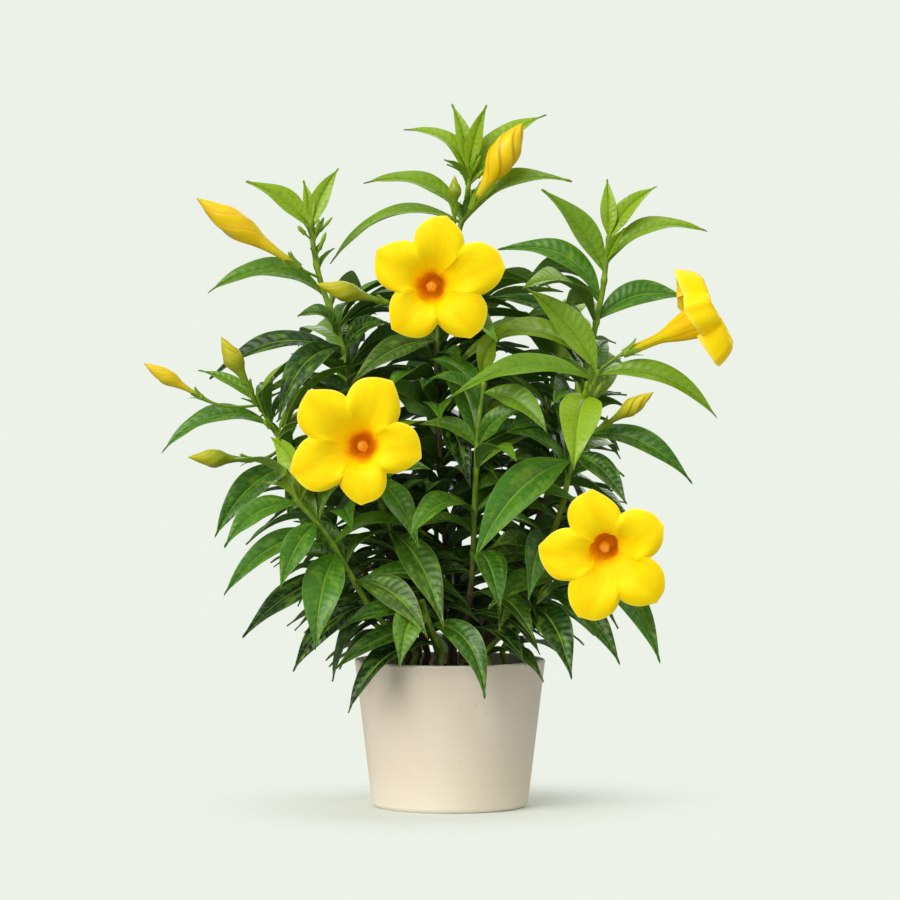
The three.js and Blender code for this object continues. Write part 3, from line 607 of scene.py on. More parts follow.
def stem_radius(stem, line, height):
    """The radius of a stem at a height: it thins evenly to its tip."""
    share = (height - line[0, 2]) / (line[-1, 2] - line[0, 2])
    return lerp(stem["radius"], STEM_TIP_RADIUS, share)


class Leaf:
    """A blade whose midrib is the quadratic curve base, bend, tip. Its upper face looks towards `up`."""

    def __init__(self, base, tip, width, arch, up, inside, age=0.5):
        self.base, self.tip = np.asarray(base, float), np.asarray(tip, float)
        chord = self.tip - self.base
        length = np.linalg.norm(chord)
        rise, _ = across(chord / length, UP)
        self.bend = self.base + LEAF_BEND * chord + 2 * arch * rise
        self.width, self.up, self.start, self.age = width, np.asarray(up, float), inside / length, age

    def half(self, t):
        """Half the blade's width: a lance shape, widest near its middle, with a drawn-out tip."""
        lance = np.sin(np.pi * np.clip(t, 0, 1) ** LEAF_WIDEST)
        return np.maximum(PETIOLE_HALF, 0.5 * self.width * np.maximum(lance, 0) ** LEAF_POINT)

    def frame(self, t):
        """The midrib's point, the blade's sideways direction and its normal at t."""
        t = np.asarray(t, float)[..., None]
        point = (1 - t) ** 2 * self.base + 2 * t * (1 - t) * self.bend + t**2 * self.tip
        tangent = unit((1 - t) * (self.bend - self.base) + t * (self.tip - self.bend))
        side = unit(np.cross(tangent, self.up))
        return point, side, np.cross(side, tangent)

    def balls(self):
        """The room that the leaf takes: centres, radii and shares along it."""
        t = np.arange(1, LEAF_BALLS + 1) / (LEAF_BALLS + 0.2)
        point, side, normal = self.frame(t)
        half = self.half(t)
        shares = np.array(LEAF_BALL_SHARES)
        out = (half[:, None] * shares)[..., None] * side[:, None]
        lift = (LEAF_FOLD * half[:, None] * np.abs(shares))[..., None] * normal[:, None]
        centres = (point[:, None] + out + lift).reshape(-1, 3)
        return centres, np.repeat(0.3 * half + 1.2, len(shares)), np.repeat(t, len(shares))


class Crowd:
    """Balls that filling leaves keep clear of. A leaf's foot and its own stem may touch."""

    def __init__(self):
        self.centres = np.zeros((0, 3))
        self.rest = np.zeros((0, 3))
        self.owners = {}

    def add(self, owner, centres, radii, t=1.0):
        centres = np.asarray(centres, float).reshape(-1, 3)
        number = self.owners.setdefault(owner, len(self.owners))
        rest = np.broadcast_to(np.stack(np.broadcast_arrays(radii, t, number), -1), (len(centres), 3))
        self.centres = np.concatenate([self.centres, centres])
        self.rest = np.concatenate([self.rest, rest])

    def has_room(self, owner, balls, clearance):
        centres, radii, t = balls
        middle = centres.mean(0)
        reach = np.linalg.norm(centres - middle, axis=1).max() + radii.max() + abs(clearance)
        near = np.linalg.norm(self.centres - middle, axis=1) < reach + self.rest[:, 0]
        others, (other_radii, other_t, numbers) = self.centres[near], self.rest[near].T
        apart = np.linalg.norm(centres[:, None] - others, axis=2) > radii[:, None] + other_radii + clearance
        own = (numbers == self.owners[owner]) & ((t[:, None] < OWN_ROOM) | (other_t < OWN_ROOM))
        return bool(np.all(apart | own))


def bloom_frame(bloom):
    """The mouth of a bloom, the way that it faces, and its right and up."""
    axis = unit(bloom["facing"])
    up, left = across(axis, UP)
    return np.array(bloom["mouth"], float), axis, -left, up


def bloom_point(bloom, angle, radius, ahead):
    """Points at angles round a bloom's axis, at radii from it and distances in front of its mouth."""
    mouth, axis, right, up = bloom_frame(bloom)
    turned = np.asarray(angle, float) + math.radians(bloom["turn"])
    angle, radius, ahead = np.broadcast_arrays(turned, radius, ahead)
    side = np.cos(angle)[..., None] * right + np.sin(angle)[..., None] * up
    return mouth + ahead[..., None] * axis + radius[..., None] * side


def bloom_bend(bloom, share, ahead):
    """How far a point is moved sideways: by `rim` at the edge, and by `throat` where the tube widens.

    share is the way out on the lobe. The throat's part rises from 2 to -10 in front of the mouth and is gone
    at the foot of the tube.
    """
    _, _, right, up = bloom_frame(bloom)
    share, ahead = np.broadcast_arrays(np.clip(share, 0, 1), ahead)
    deep = smooth(2, -10, ahead) * smooth(-52, -20, ahead)
    moved = share[..., None] * np.array(bloom["rim"]) + deep[..., None] * np.array(bloom["throat"])
    return moved[..., :1] * right + moved[..., 1:] * up


def bloom_balls(bloom):
    angle = 2 * np.pi * np.arange(BLOOM_BALLS) / BLOOM_BALLS
    for radius in BLOOM_BALL_RINGS:
        yield bloom_point(bloom, angle, radius, 4), 6
    for radius, depth in TUBE_PROFILE:
        yield bloom_point(bloom, 0, 0, -depth), radius + 3
        yield bloom_point(bloom, 0, 0, 7 - depth), radius + 3


def sight_balls(bloom):
    angle = 2 * np.pi * np.arange(SIGHT_BALLS) / SIGHT_BALLS
    for depth in SIGHT_DEPTHS:
        for out, radius in SIGHT_RINGS:
            yield bloom_point(bloom, angle, out, depth), radius


def flower_seat(flower):
    """The cup that a flower or bud stands in, and its axis."""
    if "mouth" in flower:
        mouth, axis, _, _ = bloom_frame(flower)
        return mouth - axis * (BLOOM_DEPTH + SEAT_GAP), axis
    axis = unit(np.subtract(flower["tip"], flower["base"]))
    return flower["base"] - axis * SEAT_GAP, axis


class Stalk:
    """A flower stalk: a quadratic curve out of the stem that ends along the flower's own axis."""

    def __init__(self, start, flower):
        self.cup, self.axis = flower_seat(flower)
        self.size = 1 if flower.get("width", LARGE_BUD + 1) > LARGE_BUD else SMALL_CALYX
        self.start, self.end = start, self.cup - self.axis * STALK_SUNK
        self.bend = self.cup - self.axis * STALK_BEND * np.linalg.norm(start - self.cup)

    def at(self, t):
        t = np.asarray(t, float)[..., None]
        return (1 - t) ** 2 * self.start + 2 * t * (1 - t) * self.bend + t**2 * self.end

    def direction(self, t):
        t = np.asarray(t, float)[..., None]
        return unit((1 - t) * (self.bend - self.start) + t * (self.end - self.bend))


def in_crown(balls, tip, front=CROWN_FRONT):
    """A filling leaf stays in the crown's outline, off the soil and clear of the pot."""
    heights, left, right = np.array(CROWN, float).T
    if tip[2] > heights[-1] or not front <= tip[1] <= CROWN_BACK:
        return False
    if not np.interp(tip[2], heights, left) <= tip[0] <= np.interp(tip[2], heights, right):
        return False
    centres, radii, _ = balls
    out = np.hypot(centres[:, 0], centres[:, 1])
    high = centres[:, 2] - radii > POT_HEIGHT + RIM_LIFT
    return bool(np.all(high | (out - radii > POT_TOP_RADIUS + RIM_CLEARANCE)))


def draw_leaf(draw, base, slot, age, young, inside, shorter=1.0):
    """A leaf by the rule: it climbs less the older it is, and its face looks up and outwards."""
    azimuth = slot / WHORL_LEAVES * 2 * math.pi + (next(draw) - 0.5) * AZIMUTH_SPREAD
    climb = TOP_CLIMB - CLIMB_LOSS * age + (next(draw) - 0.5) * CLIMB_SPREAD
    length = FILL_LENGTH * (LENGTH_RANGE[0] + LENGTH_RANGE[1] * next(draw))
    length *= YOUNG_LENGTH if young else 1
    lean = LEAN_RANGE[0] + LEAN_RANGE[1] * next(draw)
    length *= shorter
    tip = base + length * heading(azimuth, climb)
    outward = unit([base[0] + tip[0], base[1] + tip[1], 0])
    up = outward * math.sin(lean) + UP * math.cos(lean)
    return Leaf(base, tip, FILL_SLENDERNESS * length, FILL_ARCH * length, up, inside, age)


def placed_age(line, height, width):
    """How old a listed leaf looks: older further below its stem's tip and the crown's top."""
    age = (line[-1, 2] - height) / AGE_REACH + (AGE_TOP - height) / AGE_DROP
    return float(np.clip(age - LARGE_LEAF_YOUTH * (width > LARGE_LEAF), 0, 1))


@functools.cache
def plant():
    """Every stem with its line, leaves and stalks: the listed leaves, then those of the rule."""
    grown, crowd = {}, Crowd()
    for name, stem in STEMS.items():
        line = stem_line(stem)
        leaves = []
        for height, tip, width, arch, turn in stem["leaves"]:
            up = (0, -math.sin(math.radians(turn)), math.cos(math.radians(turn)))
            inside = LEAF_ROOT * stem_radius(stem, line, height)
            age = placed_age(line, height, width)
            leaves.append(Leaf(stem_at(line, height), tip, width, arch, up, inside, age))
        grown[name] = dict(line=line, leaves=leaves, placed=len(leaves), stalks=[])
        t = np.arange(STEM_BALLS + 1) / STEM_BALLS
        crowd.add(name, through(line, t), stem["radius"], t)
        for leaf in leaves:
            crowd.add(name, *leaf.balls())
    for flowers in (BLOOMS, BUDS):
        for name, flower in flowers.items():
            owner = grown[flower["stem"]]
            owner["stalks"].append(Stalk(stem_at(owner["line"], flower["start"]), flower))
            if "mouth" in flower:
                rooms = list(bloom_balls(flower))
                if abs(flower["facing"][1]) > 0.5:
                    rooms += sight_balls(flower)
                for centres, radius in rooms:
                    crowd.add(name, centres, radius)
            else:
                share = np.arange(BUD_BALLS + 1) / BUD_BALLS
                centres = flower["base"] + share[:, None] * np.subtract(flower["tip"], flower["base"])
                crowd.add(name, centres, 0.5 * flower["width"] + 1, share)
    for stem in grown.values():
        for stalk in stem["stalks"]:
            share = np.arange(1, STALK_BALLS + 1) / STALK_BALLS
            crowd.add("stalks", stalk.at(share), STALK_ROOM, share)
            room = stalk.cup + CUP_ROOM_RISE * stalk.size * stalk.axis
            crowd.add("stalks", room, CUP_ROOM * stalk.size)
    fill_whorls(grown, crowd)
    for inner in INNER_PASSES:
        fill_between(grown, crowd, **inner)
    return grown


def whorls(name, stem, offset, lowest=0):
    """From a stem's tip down: each whorl's number, age, foot, and how deep in the stem its leaves start."""
    top = stem["line"][-1, 2]
    count = int((top - WHORL_FOOT) // WHORL_SPACING)
    for w in range(count + 1):
        height = max(top - TIP_GAP - (w + offset) * WHORL_SPACING, lowest)
        inside = LEAF_ROOT * stem_radius(STEMS[name], stem["line"], height)
        yield w, w / max(1, count), stem_at(stem["line"], height), inside


def place_leaf(name, stem, crowd, tries, clearance, front, make):
    """Keeps the first of a few leaves that stands in the crown and clear of the rest, and gives it."""
    for _ in range(tries):
        leaf = make()
        balls = leaf.balls()
        if in_crown(balls, leaf.tip, front) and crowd.has_room(name, balls, clearance):
            stem["leaves"].append(leaf)
            crowd.add(name, *balls)
            return leaf
    return None


def fill_whorls(grown, crowd):
    """Whorls down each stem, turned by half a step from one to the next."""
    draw = random_stream(SEED)
    for name, stem in grown.items():
        for w, age, base, inside in whorls(name, stem, 0):
            for k in range(WHORL_LEAVES):
                make = lambda: draw_leaf(draw, base, k + 0.5 * (w % 2), age, w == 0, inside)
                place_leaf(name, stem, crowd, WHORL_TRIES, CLEARANCE, CROWN_FRONT, make)


def fill_between(grown, crowd, seed, tries, clearance, front, size):
    """Smaller leaves halfway between the whorls, behind those in front, with painted shade where the crown is
    dense.
    """
    draw = random_stream(seed)
    for name, stem in grown.items():
        for _, age, base, inside in whorls(name, stem, 0.5, WHORL_FOOT):
            for k in range(INNER_LEAVES):
                make = lambda: draw_leaf(
                    draw, base, k + 0.25, age, False, inside, size + INNER_SPREAD * next(draw)
                )
                leaf = place_leaf(name, stem, crowd, tries, clearance, front, make)
                if leaf:
                    # Painted shade: a leaf deep in the crown is made older, and so darker.
                    leaf.age = 0.5 + 0.5 * age


# Shader maths and materials


def srgb(red, green, blue):
    """A colour named by its 0 to 255 screen values, as linear red, green, blue and alpha."""
    shares = [c / 255 for c in (red, green, blue)]
    return (*[c / 12.92 if c <= 0.04045 else ((c + 0.055) / 1.055) ** 2.4 for c in shares], 1.0)


class Value:
    """A number in a material. Arithmetic on it adds Math nodes."""

    def __init__(self, finish, socket):
        self.finish, self.socket = finish, socket

    def _math(self, operation, *inputs):
        values = {i: x.socket if isinstance(x, Value) else x for i, x in enumerate(inputs)}
        made = self.finish.node("ShaderNodeMath", {"operation": operation}, values)
        return Value(self.finish, made.outputs[0])

    def __add__(self, other):
        return self._math("ADD", self, other)

    def __sub__(self, other):
        return self._math("SUBTRACT", self, other)

    def __rsub__(self, other):
        return self._math("SUBTRACT", other, self)

    def __mul__(self, other):
        return self._math("MULTIPLY", self, other)

    def __pow__(self, other):
        return self._math("POWER", self, other)

    __radd__ = __add__
    __rmul__ = __mul__

    def size(self):
        return self._math("ABSOLUTE", self)

    def part(self):
        """What is left of the number above its whole part."""
        return self._math("FRACT", self)

    def between(self, low, high, start=0.0, end=1.0):
        """start below low, end above high, and a smooth step between them."""
        settings = {"interpolation_type": "SMOOTHSTEP"}
        values = {"Value": self.socket, "From Min": low, "From Max": high, "To Min": start, "To Max": end}
        return Value(self.finish, self.finish.node("ShaderNodeMapRange", settings, values).outputs[0])


class Finish:
    """A material in the making: a Principled shader and the nodes that feed it."""

    def __init__(self, name, **constants):
        self.material = bpy.data.materials.new(name)
        self.material.use_nodes = True
        self.tree = self.material.node_tree
        self.shader = self.tree.nodes["Principled BSDF"]
        for key, value in constants.items():
            self.shader.inputs[key.replace("_", " ").title().replace("Ior", "IOR")].default_value = value
        self.place = self.node("ShaderNodeTexCoord").outputs["Object"]

    def node(self, kind, settings=None, values=None):
        """Adds a node: its settings first, then the value or link of each socket in values."""
        made = self.tree.nodes.new(kind)
        for key, value in (settings or {}).items():
            setattr(made, key, value)
        for key, value in (values or {}).items():
            if isinstance(value, Value):
                value = value.socket
            if isinstance(value, bpy.types.NodeSocket):
                self.tree.links.new(value, made.inputs[key])
            else:
                made.inputs[key].default_value = value
        return made

    def point(self, name):
        """A value that the mesh holds at its points."""
        return Value(self, self.node("ShaderNodeAttribute", {"attribute_name": name}).outputs["Fac"])

    def noise(self, scale, detail=2.0, stretch=None, place=None):
        """Noise from 0 to 1, by place on the object, stretched along its axes where asked."""
        place = place or self.place
        if stretch:
            place = self.node("ShaderNodeMapping", values={"Vector": place, "Scale": stretch}).outputs[0]
        values = {"Vector": place, "Scale": scale, "Detail": detail}
        return Value(self, self.node("ShaderNodeTexNoise", values=values).outputs["Fac"])

    def surface_noise(self, along, across, scale, stretch, offset):
        """Noise by place on the surface, from its own two values, shifted from piece to piece by offset."""
        values = {"X": along * stretch[0], "Y": across * stretch[1], "Z": offset}
        place = self.node("ShaderNodeCombineXYZ", values=values).outputs[0]
        return self.noise(scale, place=place)

    def mix(self, share, low, high):
        """The colour low where share is 0 and high where it is 1."""
        return self.node("ShaderNodeMix", {"data_type": "RGBA"}, {0: share, 6: low, 7: high}).outputs[2]

    def bump(self, height, distance, strength):
        values = {"Height": height, "Distance": distance, "Strength": strength}
        return self.node("ShaderNodeBump", values=values).outputs[0]

    def wear(self, **sockets):
        """Links sockets of the shader and gives the finished material."""
        for key, value in sockets.items():
            socket = value.socket if isinstance(value, Value) else value
            self.tree.links.new(socket, self.shader.inputs[key.replace("_", " ").title()])
        return self.material


def leaf_finish(colours):
    """Glossy green by age: a pale midrib, faint side veins between quilted fields, and dry edges on some."""
    f = Finish("leaf", specular_ior_level=0.4)
    along, side, face = f.point("along"), f.point("across"), f.point("face")
    age, tone = f.point("age"), f.point("tone")
    out = side.size()
    wave = ((along * f.point("veins")).part() - 0.5).size()
    vein = wave.between(0.41, 0.5) * out.between(0.02, 0.12) * out.between(0.75, 1.0, 1.0, 0.0)
    rib = out.between(0.02, 0.085, 1.0, 0.0) * along.between(0.9, 1.0, 1.0, 0.0)
    mottle = f.surface_noise(along, side, 2.2, (3.0, 1.1), tone * 37.0)
    fine = f.noise(420.0, 3.0)
    green = f.mix((age + (mottle - 0.5) * 0.3).between(0.02, 0.45), colours.young_leaf, colours.leaf)
    # Darker towards the old leaf's colour with age. Leaves deep in the crown are made older as painted shade.
    green = f.mix((age + (fine - 0.5) * 0.3).between(0.45, 1.0), green, colours.old_and_shaded_leaf)
    lit = mottle.between(0.45, 0.75) * 0.5 + tone.between(0.5, 1.0) * 0.3
    green = f.mix(lit * face, green, f.mix(age.between(0.15, 0.9), colours.young_leaf, colours.lit_leaf))
    green = f.mix(fine.between(0.5, 0.75) * 0.3, green, colours.old_and_shaded_leaf)
    green = f.mix(vein * (0.07 + face * 0.07), green, colours.vein)
    green = f.mix(rib * 0.5, green, colours.vein)
    green = f.mix(out.between(0.93, 1.0) * 0.3, green, colours.vein)
    green = f.mix((1.0 - face) * 0.5, green, colours.leaf_back)
    dry = (along + (fine - 0.5) * 0.08).between(0.94, 1.02) * tone.between(0.5, 0.8)
    margin = (out + (fine - 0.5) * 0.3).between(0.86, 1.0) * along.between(0.45, 0.9)
    dry = dry + margin * tone.between(0.6, 0.9) * age
    green = f.mix(dry, green, colours.dry_tip)
    quilt = wave.between(0.0, 0.5, 1.0, 0.0) * out.between(0.0, 0.3) * out.between(0.7, 1.0, 1.0, 0.0)
    height = quilt * (0.25 + age * 0.35) + fine * 0.12 + rib * (0.4 - face * 0.9)
    rough = fine.between(0.3, 0.8, 0.27, 0.4) + (1.0 - face) * 0.25
    return f.wear(base_color=green, roughness=rough, normal=f.bump(height, 0.0006, 0.7))


def stem_finish(colours):
    """Grey-brown bark at the foot with lengthwise furrows, green towards the tip, with pale pores."""
    f = Finish("stem", specular_ior_level=0.4)
    age = f.point("age")
    furrow = f.noise(900.0, 3.0, stretch=(1.0, 1.0, 0.12))
    blotch = f.noise(140.0, 2.0)
    bark = f.mix(furrow.between(0.4, 0.65), colours.bark_dark, colours.bark)
    green = f.mix(blotch.between(0.4, 0.7), colours.stem_green, colours.young_leaf)
    colour = f.mix((age + (blotch - 0.5) * 0.5).between(0.35, 0.8), green, bark)
    pores = f.noise(1300.0, 1.0, stretch=(1.0, 1.0, 0.5)).between(0.66, 0.72)
    colour = f.mix(pores * 0.4, colour, colours.vein)
    return f.wear(
        base_color=colour, roughness=age.between(0.2, 0.8, 0.42, 0.78), normal=f.bump(furrow, 0.0005, 0.7)
    )


def calyx_finish(colours):
    """Fresh green of stalks, sepals and young buds, paler and yellower towards the tips."""
    f = Finish("calyx", specular_ior_level=0.45)
    along, tone = f.point("along"), f.point("tone")
    grain = f.noise(260.0, 3.0)
    green = f.mix(along.between(0.15, 1.0) * 0.7 + tone * 0.25, colours.stem_green, colours.young_leaf)
    green = f.mix(grain.between(0.45, 0.75) * 0.4, green, colours.leaf)
    return f.wear(
        base_color=green, roughness=grain.between(0.3, 0.8, 0.38, 0.52), normal=f.bump(grain, 0.0004, 0.5)
    )


def petal_finish(colours):
    """Bright yellow, fine lengthwise lines, a paler rim with a painted highlight, a deeper throat, a greenish
    foot.

    The lobes give off a little painted glow of their own, in the deeper yellow.
    """
    f = Finish(
        "petal", specular_ior_level=0.15, subsurface_weight=0.12, subsurface_radius=(1.0, 0.75, 0.1),
        subsurface_scale=0.002, emission_strength=0.16,
    )
    along, side, face, out = f.point("along"), f.point("across"), f.point("face"), f.point("out")
    tone = f.point("tone")
    lines = f.surface_noise(along, side, 1.0, (5.0, 34.0), tone * 29.0)
    cloud = f.surface_noise(along, side, 1.0, (5.0, 2.4), tone * 7.0)
    yellow = f.mix(cloud.between(0.35, 0.7) * 0.6, colours.petal, colours.petal_pale)
    yellow = f.mix(lines.between(0.5, 0.8) * 0.3, yellow, colours.petal_deep)
    # Painted shade: deeper yellow along the crease down the middle of each lobe, fading near its edge.
    crease = side.size().between(0.0, 0.22, 1.0, 0.0) * out.between(0.2, 0.5)
    crease = crease * out.between(0.8, 1.0, 1.0, 0.3)
    yellow = f.mix(crease * 0.35, yellow, colours.petal_deep)
    # A paler rim round each lobe and up its sides, partly a painted highlight along the edge.
    edge = (out + side.size() ** 4.0 * 0.05).between(0.94, 1.01)
    yellow = f.mix(edge * 0.45, yellow, colours.pale_rim_and_highlight)
    reach = out + (lines - 0.5) * 0.16 + (cloud - 0.5) * 0.3
    inside = f.mix(reach.between(-0.3, 0.55, 1.0, 0.0) * 0.8, yellow, colours.petal_glow)
    inside = f.mix(reach.between(-0.75, 0.0, 1.0, 0.0), inside, colours.throat)
    inside = f.mix(reach.between(-0.9, -0.3, 1.0, 0.0) * 0.9, inside, colours.throat_dark)
    foot = along.between(0.02, 0.26, 1.0, 0.0)
    swell = out.between(-0.9, -0.6) * out.between(-0.45, 0.0, 1.0, 0.0) * cloud.between(0.3, 0.6)
    outside = f.mix(lines.between(0.35, 0.65) * 0.5, yellow, colours.petal_deep)
    outside = f.mix(swell * 0.6, outside, colours.throat)
    outside = f.mix(foot * 0.7, outside, colours.petal_foot)
    colour = f.mix(face, outside, inside)
    height = lines * 0.6 + cloud * 0.4
    # Painted glow: deep yellow light from the fronts of the lobes, a quarter of it in the throat and three
    # tenths on the back.
    glow_cut = face * out.between(-0.9, 0.1, 1.0, 0.0) * 0.75 + (1.0 - face) * 0.7
    painted_glow = f.mix(glow_cut, colours.petal_deep, (0.0, 0.0, 0.0, 1.0))
    rough = lines.between(0.3, 0.7, 0.5, 0.62)
    return f.wear(
        base_color=colour, roughness=rough, emission_color=painted_glow, normal=f.bump(height, 0.0006, 0.5)
    )


def knob_finish(colours):
    """The style and the orange anthers in the throat, velvety with fine yellow grains and a faint painted
    glow.
    """
    # Painted glow: the knob gives off a faint golden light of its own.
    f = Finish("knob", specular_ior_level=0.15, emission_color=colours.petal_glow, emission_strength=0.06)
    along = f.point("along")
    grain = f.noise(700.0, 2.0)
    colour = f.mix(along.between(0.6, 0.85), colours.throat, colours.knob)
    colour = f.mix(grain.between(0.45, 0.7) * 0.25, colour, colours.petal_glow)
    return f.wear(
        base_color=colour, roughness=grain.between(0.3, 0.7, 0.6, 0.8), normal=f.bump(grain, 0.0003, 0.5)
    )


def bud_finish(colours):
    """Rolled petals: green when young and yellow when ripe, with darker seams along the roll."""
    f = Finish("bud", specular_ior_level=0.4)
    along, seam, ripe = f.point("along"), f.point("seam"), f.point("ripe")
    streak = f.surface_noise(along, f.point("winding"), 1.0, (4.0, 9.0), ripe * 17.0)
    green = f.mix(along.between(0.1, 0.9), colours.stem_green, colours.bud_green)
    yellow = f.mix(along.between(0.05, 0.4), colours.petal_foot, colours.petal)
    colour = f.mix((ripe + (along - 0.45) * 0.7 * (1.0 - ripe)).between(0.2, 1.0), green, yellow)
    orange = streak.between(0.4, 0.7) * ripe.between(0.4, 1.0) * along.between(0.2, 0.5)
    colour = f.mix(orange * 0.7, colour, colours.petal_deep)
    rolled = f.mix(ripe.between(0.5, 1.0), colours.bud_seam_green, colours.bud_seam)
    colour = f.mix(seam * 0.6, colour, rolled)
    tip = along.between(0.93, 1.0)
    colour = f.mix(tip * 0.5, colour, colours.bud_green)
    rough = streak.between(0.3, 0.7, 0.34, 0.48)
    return f.wear(base_color=colour, roughness=rough, normal=f.bump(streak, 0.0004, 0.4))


def soil_finish(colours):
    """Dark, crumbly soil: brown to near black, with paler grains."""
    f = Finish("soil", specular_ior_level=0.25)
    tone = f.point("tone")
    coarse, fine = f.noise(160.0, 4.0), f.noise(900.0, 3.0)
    colour = f.mix(coarse.between(0.35, 0.65), colours.soil_dark, colours.soil)
    colour = f.mix(tone.between(0.55, 1.0) * 0.7, colour, colours.soil_light)
    colour = f.mix(fine.between(0.6, 0.75) * 0.5, colour, colours.soil_light)
    height = coarse * 0.6 + fine * 0.5
    return f.wear(
        base_color=colour, roughness=fine.between(0.3, 0.8, 0.82, 0.98), normal=f.bump(height, 0.0015, 0.9)
    )


def pot_finish(colours):
    """Cream pot with a satin skin: faint clouds, fine turning lines, small pits, and a paler foot and rim."""
    f = Finish("pot", specular_ior_level=0.4)
    worn = f.point("worn")
    cloud, grain = f.noise(26.0, 3.0), f.noise(1500.0, 2.0)
    turning = f.noise(420.0, 2.0, stretch=(0.04, 0.04, 1.0))
    pits = f.noise(520.0, 1.0).between(0.7, 0.78)
    colour = f.mix(cloud.between(0.3, 0.7), colours.pot, colours.pot_warm)
    colour = f.mix(turning.between(0.45, 0.8) * 0.1, colour, colours.pot_pale)
    colour = f.mix(pits * 0.35, colour, colours.pot_speck)
    # Paler and rougher at the top of the rim and round the foot.
    colour = f.mix(worn * 0.7, colour, colours.pot_pale)
    height = turning * 0.15 + grain * 0.12 + pits * -0.5
    rough = cloud.between(0.3, 0.7, 0.42, 0.52) + worn * 0.12
    return f.wear(base_color=colour, roughness=rough, normal=f.bump(height, 0.0004, 0.45))


def floor_finish(colours):
    """A plain pale floor that fades into the backdrop away from the pot."""
    f = Finish("floor", specular_ior_level=0.1, roughness=0.9)
    reach = Value(f, f.node("ShaderNodeVectorMath", {"operation": "LENGTH"}, {0: f.place}).outputs["Value"])
    tint = f.noise(3.0, 2.0)
    colour = f.mix(tint.between(0.2, 0.8), colours.floor, colours.floor_cool)
    return f.wear(base_color=colour, alpha=reach.between(0.03, 0.22, 1.0, 0.06) ** 1.5)


@functools.cache
def finish_of(name):
    """Each material once, from the colours of the scene."""
    makers = dict(
        leaf=leaf_finish, stem=stem_finish, calyx=calyx_finish, petal=petal_finish, knob=knob_finish,
        bud=bud_finish, soil=soil_finish, pot=pot_finish, floor=floor_finish,
    )
    return makers[name](bpy.context.scene.allamanda_colours)


# Pot and soil


def revolve(profile, sides):
    """A profile of (radius, height) turned round Z: x = r cos a, y = r sin a, z = height."""
    radius, height = np.asarray(profile, float).T
    angle = np.linspace(0, 2 * np.pi, sides, endpoint=False)
    x, y = radius[:, None] * np.cos(angle), radius[:, None] * np.sin(angle)
    return np.stack([x, y, np.broadcast_to(height[:, None], x.shape)], -1)


def arc(centre, radius, start, end, count):
    """Points on a circle from one angle in degrees to another."""
    angle = np.radians(np.linspace(start, end, count))
    return np.stack([centre[0] + radius * np.cos(angle), centre[1] + radius * np.sin(angle)], -1)


def outer(z):
    """The pot's outer radius at a height: an even taper."""
    return POT_BASE_RADIUS + (POT_TOP_RADIUS - POT_BASE_RADIUS) / POT_HEIGHT * z


def soil_radius(z):
    """The soil's radius at a height: it follows the pot's inner wall with a thin gap."""
    return outer(z) - POT_WALL - SEAT_GAP


def pot_profile():
    """From the middle of the underside, round the foot, up the wall, over the rim and down to the floor."""
    foot = [[0.4, 0], [20, 0], [40, 0], [outer(0) - FOOT_BEVEL - 0.6, 0], [outer(0) - FOOT_BEVEL, 0.1]]
    bevel = [[outer(0) - 0.5 * FOOT_BEVEL, 1.1], [outer(FOOT_BEVEL) - 0.15, FOOT_BEVEL - 0.2]]
    wall = [[outer(z), z] for z in np.linspace(FOOT_BEVEL + 0.4, POT_HEIGHT - RIM_ROUND, 14)]
    middle = outer(POT_HEIGHT) - RIM_ROUND
    rim = arc((middle, POT_HEIGHT - RIM_ROUND), RIM_ROUND, 8, 90, 6)
    inner_rim = arc((middle - POT_WALL + 2 * RIM_ROUND, POT_HEIGHT - RIM_ROUND), RIM_ROUND, 90, 172, 6)
    inside = [[outer(z) - POT_WALL, z] for z in np.linspace(POT_HEIGHT - RIM_ROUND - 0.5, POT_FLOOR, 8)]
    floor = [[INNER_DISC, POT_FLOOR], [0.4, POT_FLOOR]]
    return np.concatenate([foot, bevel, wall, rim, inner_rim, inside, floor])


def build_pot(sizes):
    """The pot as one turned wall, with its drainage holes cut through the floor."""
    profile = pot_profile()
    shells = Shells()
    height = profile[:, 1]
    outer = profile[:, 0] > POT_BASE_RADIUS - FOOT_BEVEL - 1
    # Paler at the top of the rim and round the outside of the foot.
    worn = np.maximum(smooth(POT_HEIGHT - 1.2, POT_HEIGHT, height), smooth(3.4, 1.2, height) * outer)
    shells.add_loft(revolve(profile, sizes.pot_sides), worn=worn[:, None])
    cutters = Shells()
    for i in range(DRAIN_HOLES):
        angle = (i + 0.5) * 2 * np.pi / DRAIN_HOLES
        hole = revolve([[DRAIN_RADIUS, z] for z in DRAIN_CUT], DRAIN_SIDES)
        hole += [DRAIN_CIRCLE * math.cos(angle), DRAIN_CIRCLE * math.sin(angle), 0]
        cutters.add_loft(hole, worn=0.0)
    cutter = cutters.build("drain_cutter", [], "pot_ceramic")
    pot = shells.build("pot_body", [finish_of("pot")], "pot_ceramic", "pot", crease=35)
    cut = pot.modifiers.new("drainage", "BOOLEAN")
    cut.object, cut.operation, cut.solver = cutter, "DIFFERENCE", "EXACT"
    pot.data = bpy.data.meshes.new_from_object(pot.evaluated_get(bpy.context.evaluated_depsgraph_get()))
    pot.modifiers.clear()
    bpy.data.objects.remove(cutter)


def ripples(x, y, waves, shortest, longest, seed):
    """A sum of sines in random directions, with wavelengths between two limits, mostly within 1."""
    rng = np.random.default_rng(seed)
    total = np.zeros_like(x)
    for _ in range(waves):
        heading, shift = rng.uniform(0, 2 * np.pi, 2)
        turns = 2 * np.pi / rng.uniform(shortest, longest)
        total += np.sin(turns * (x * math.cos(heading) + y * math.sin(heading)) + shift)
    return total / math.sqrt(waves)


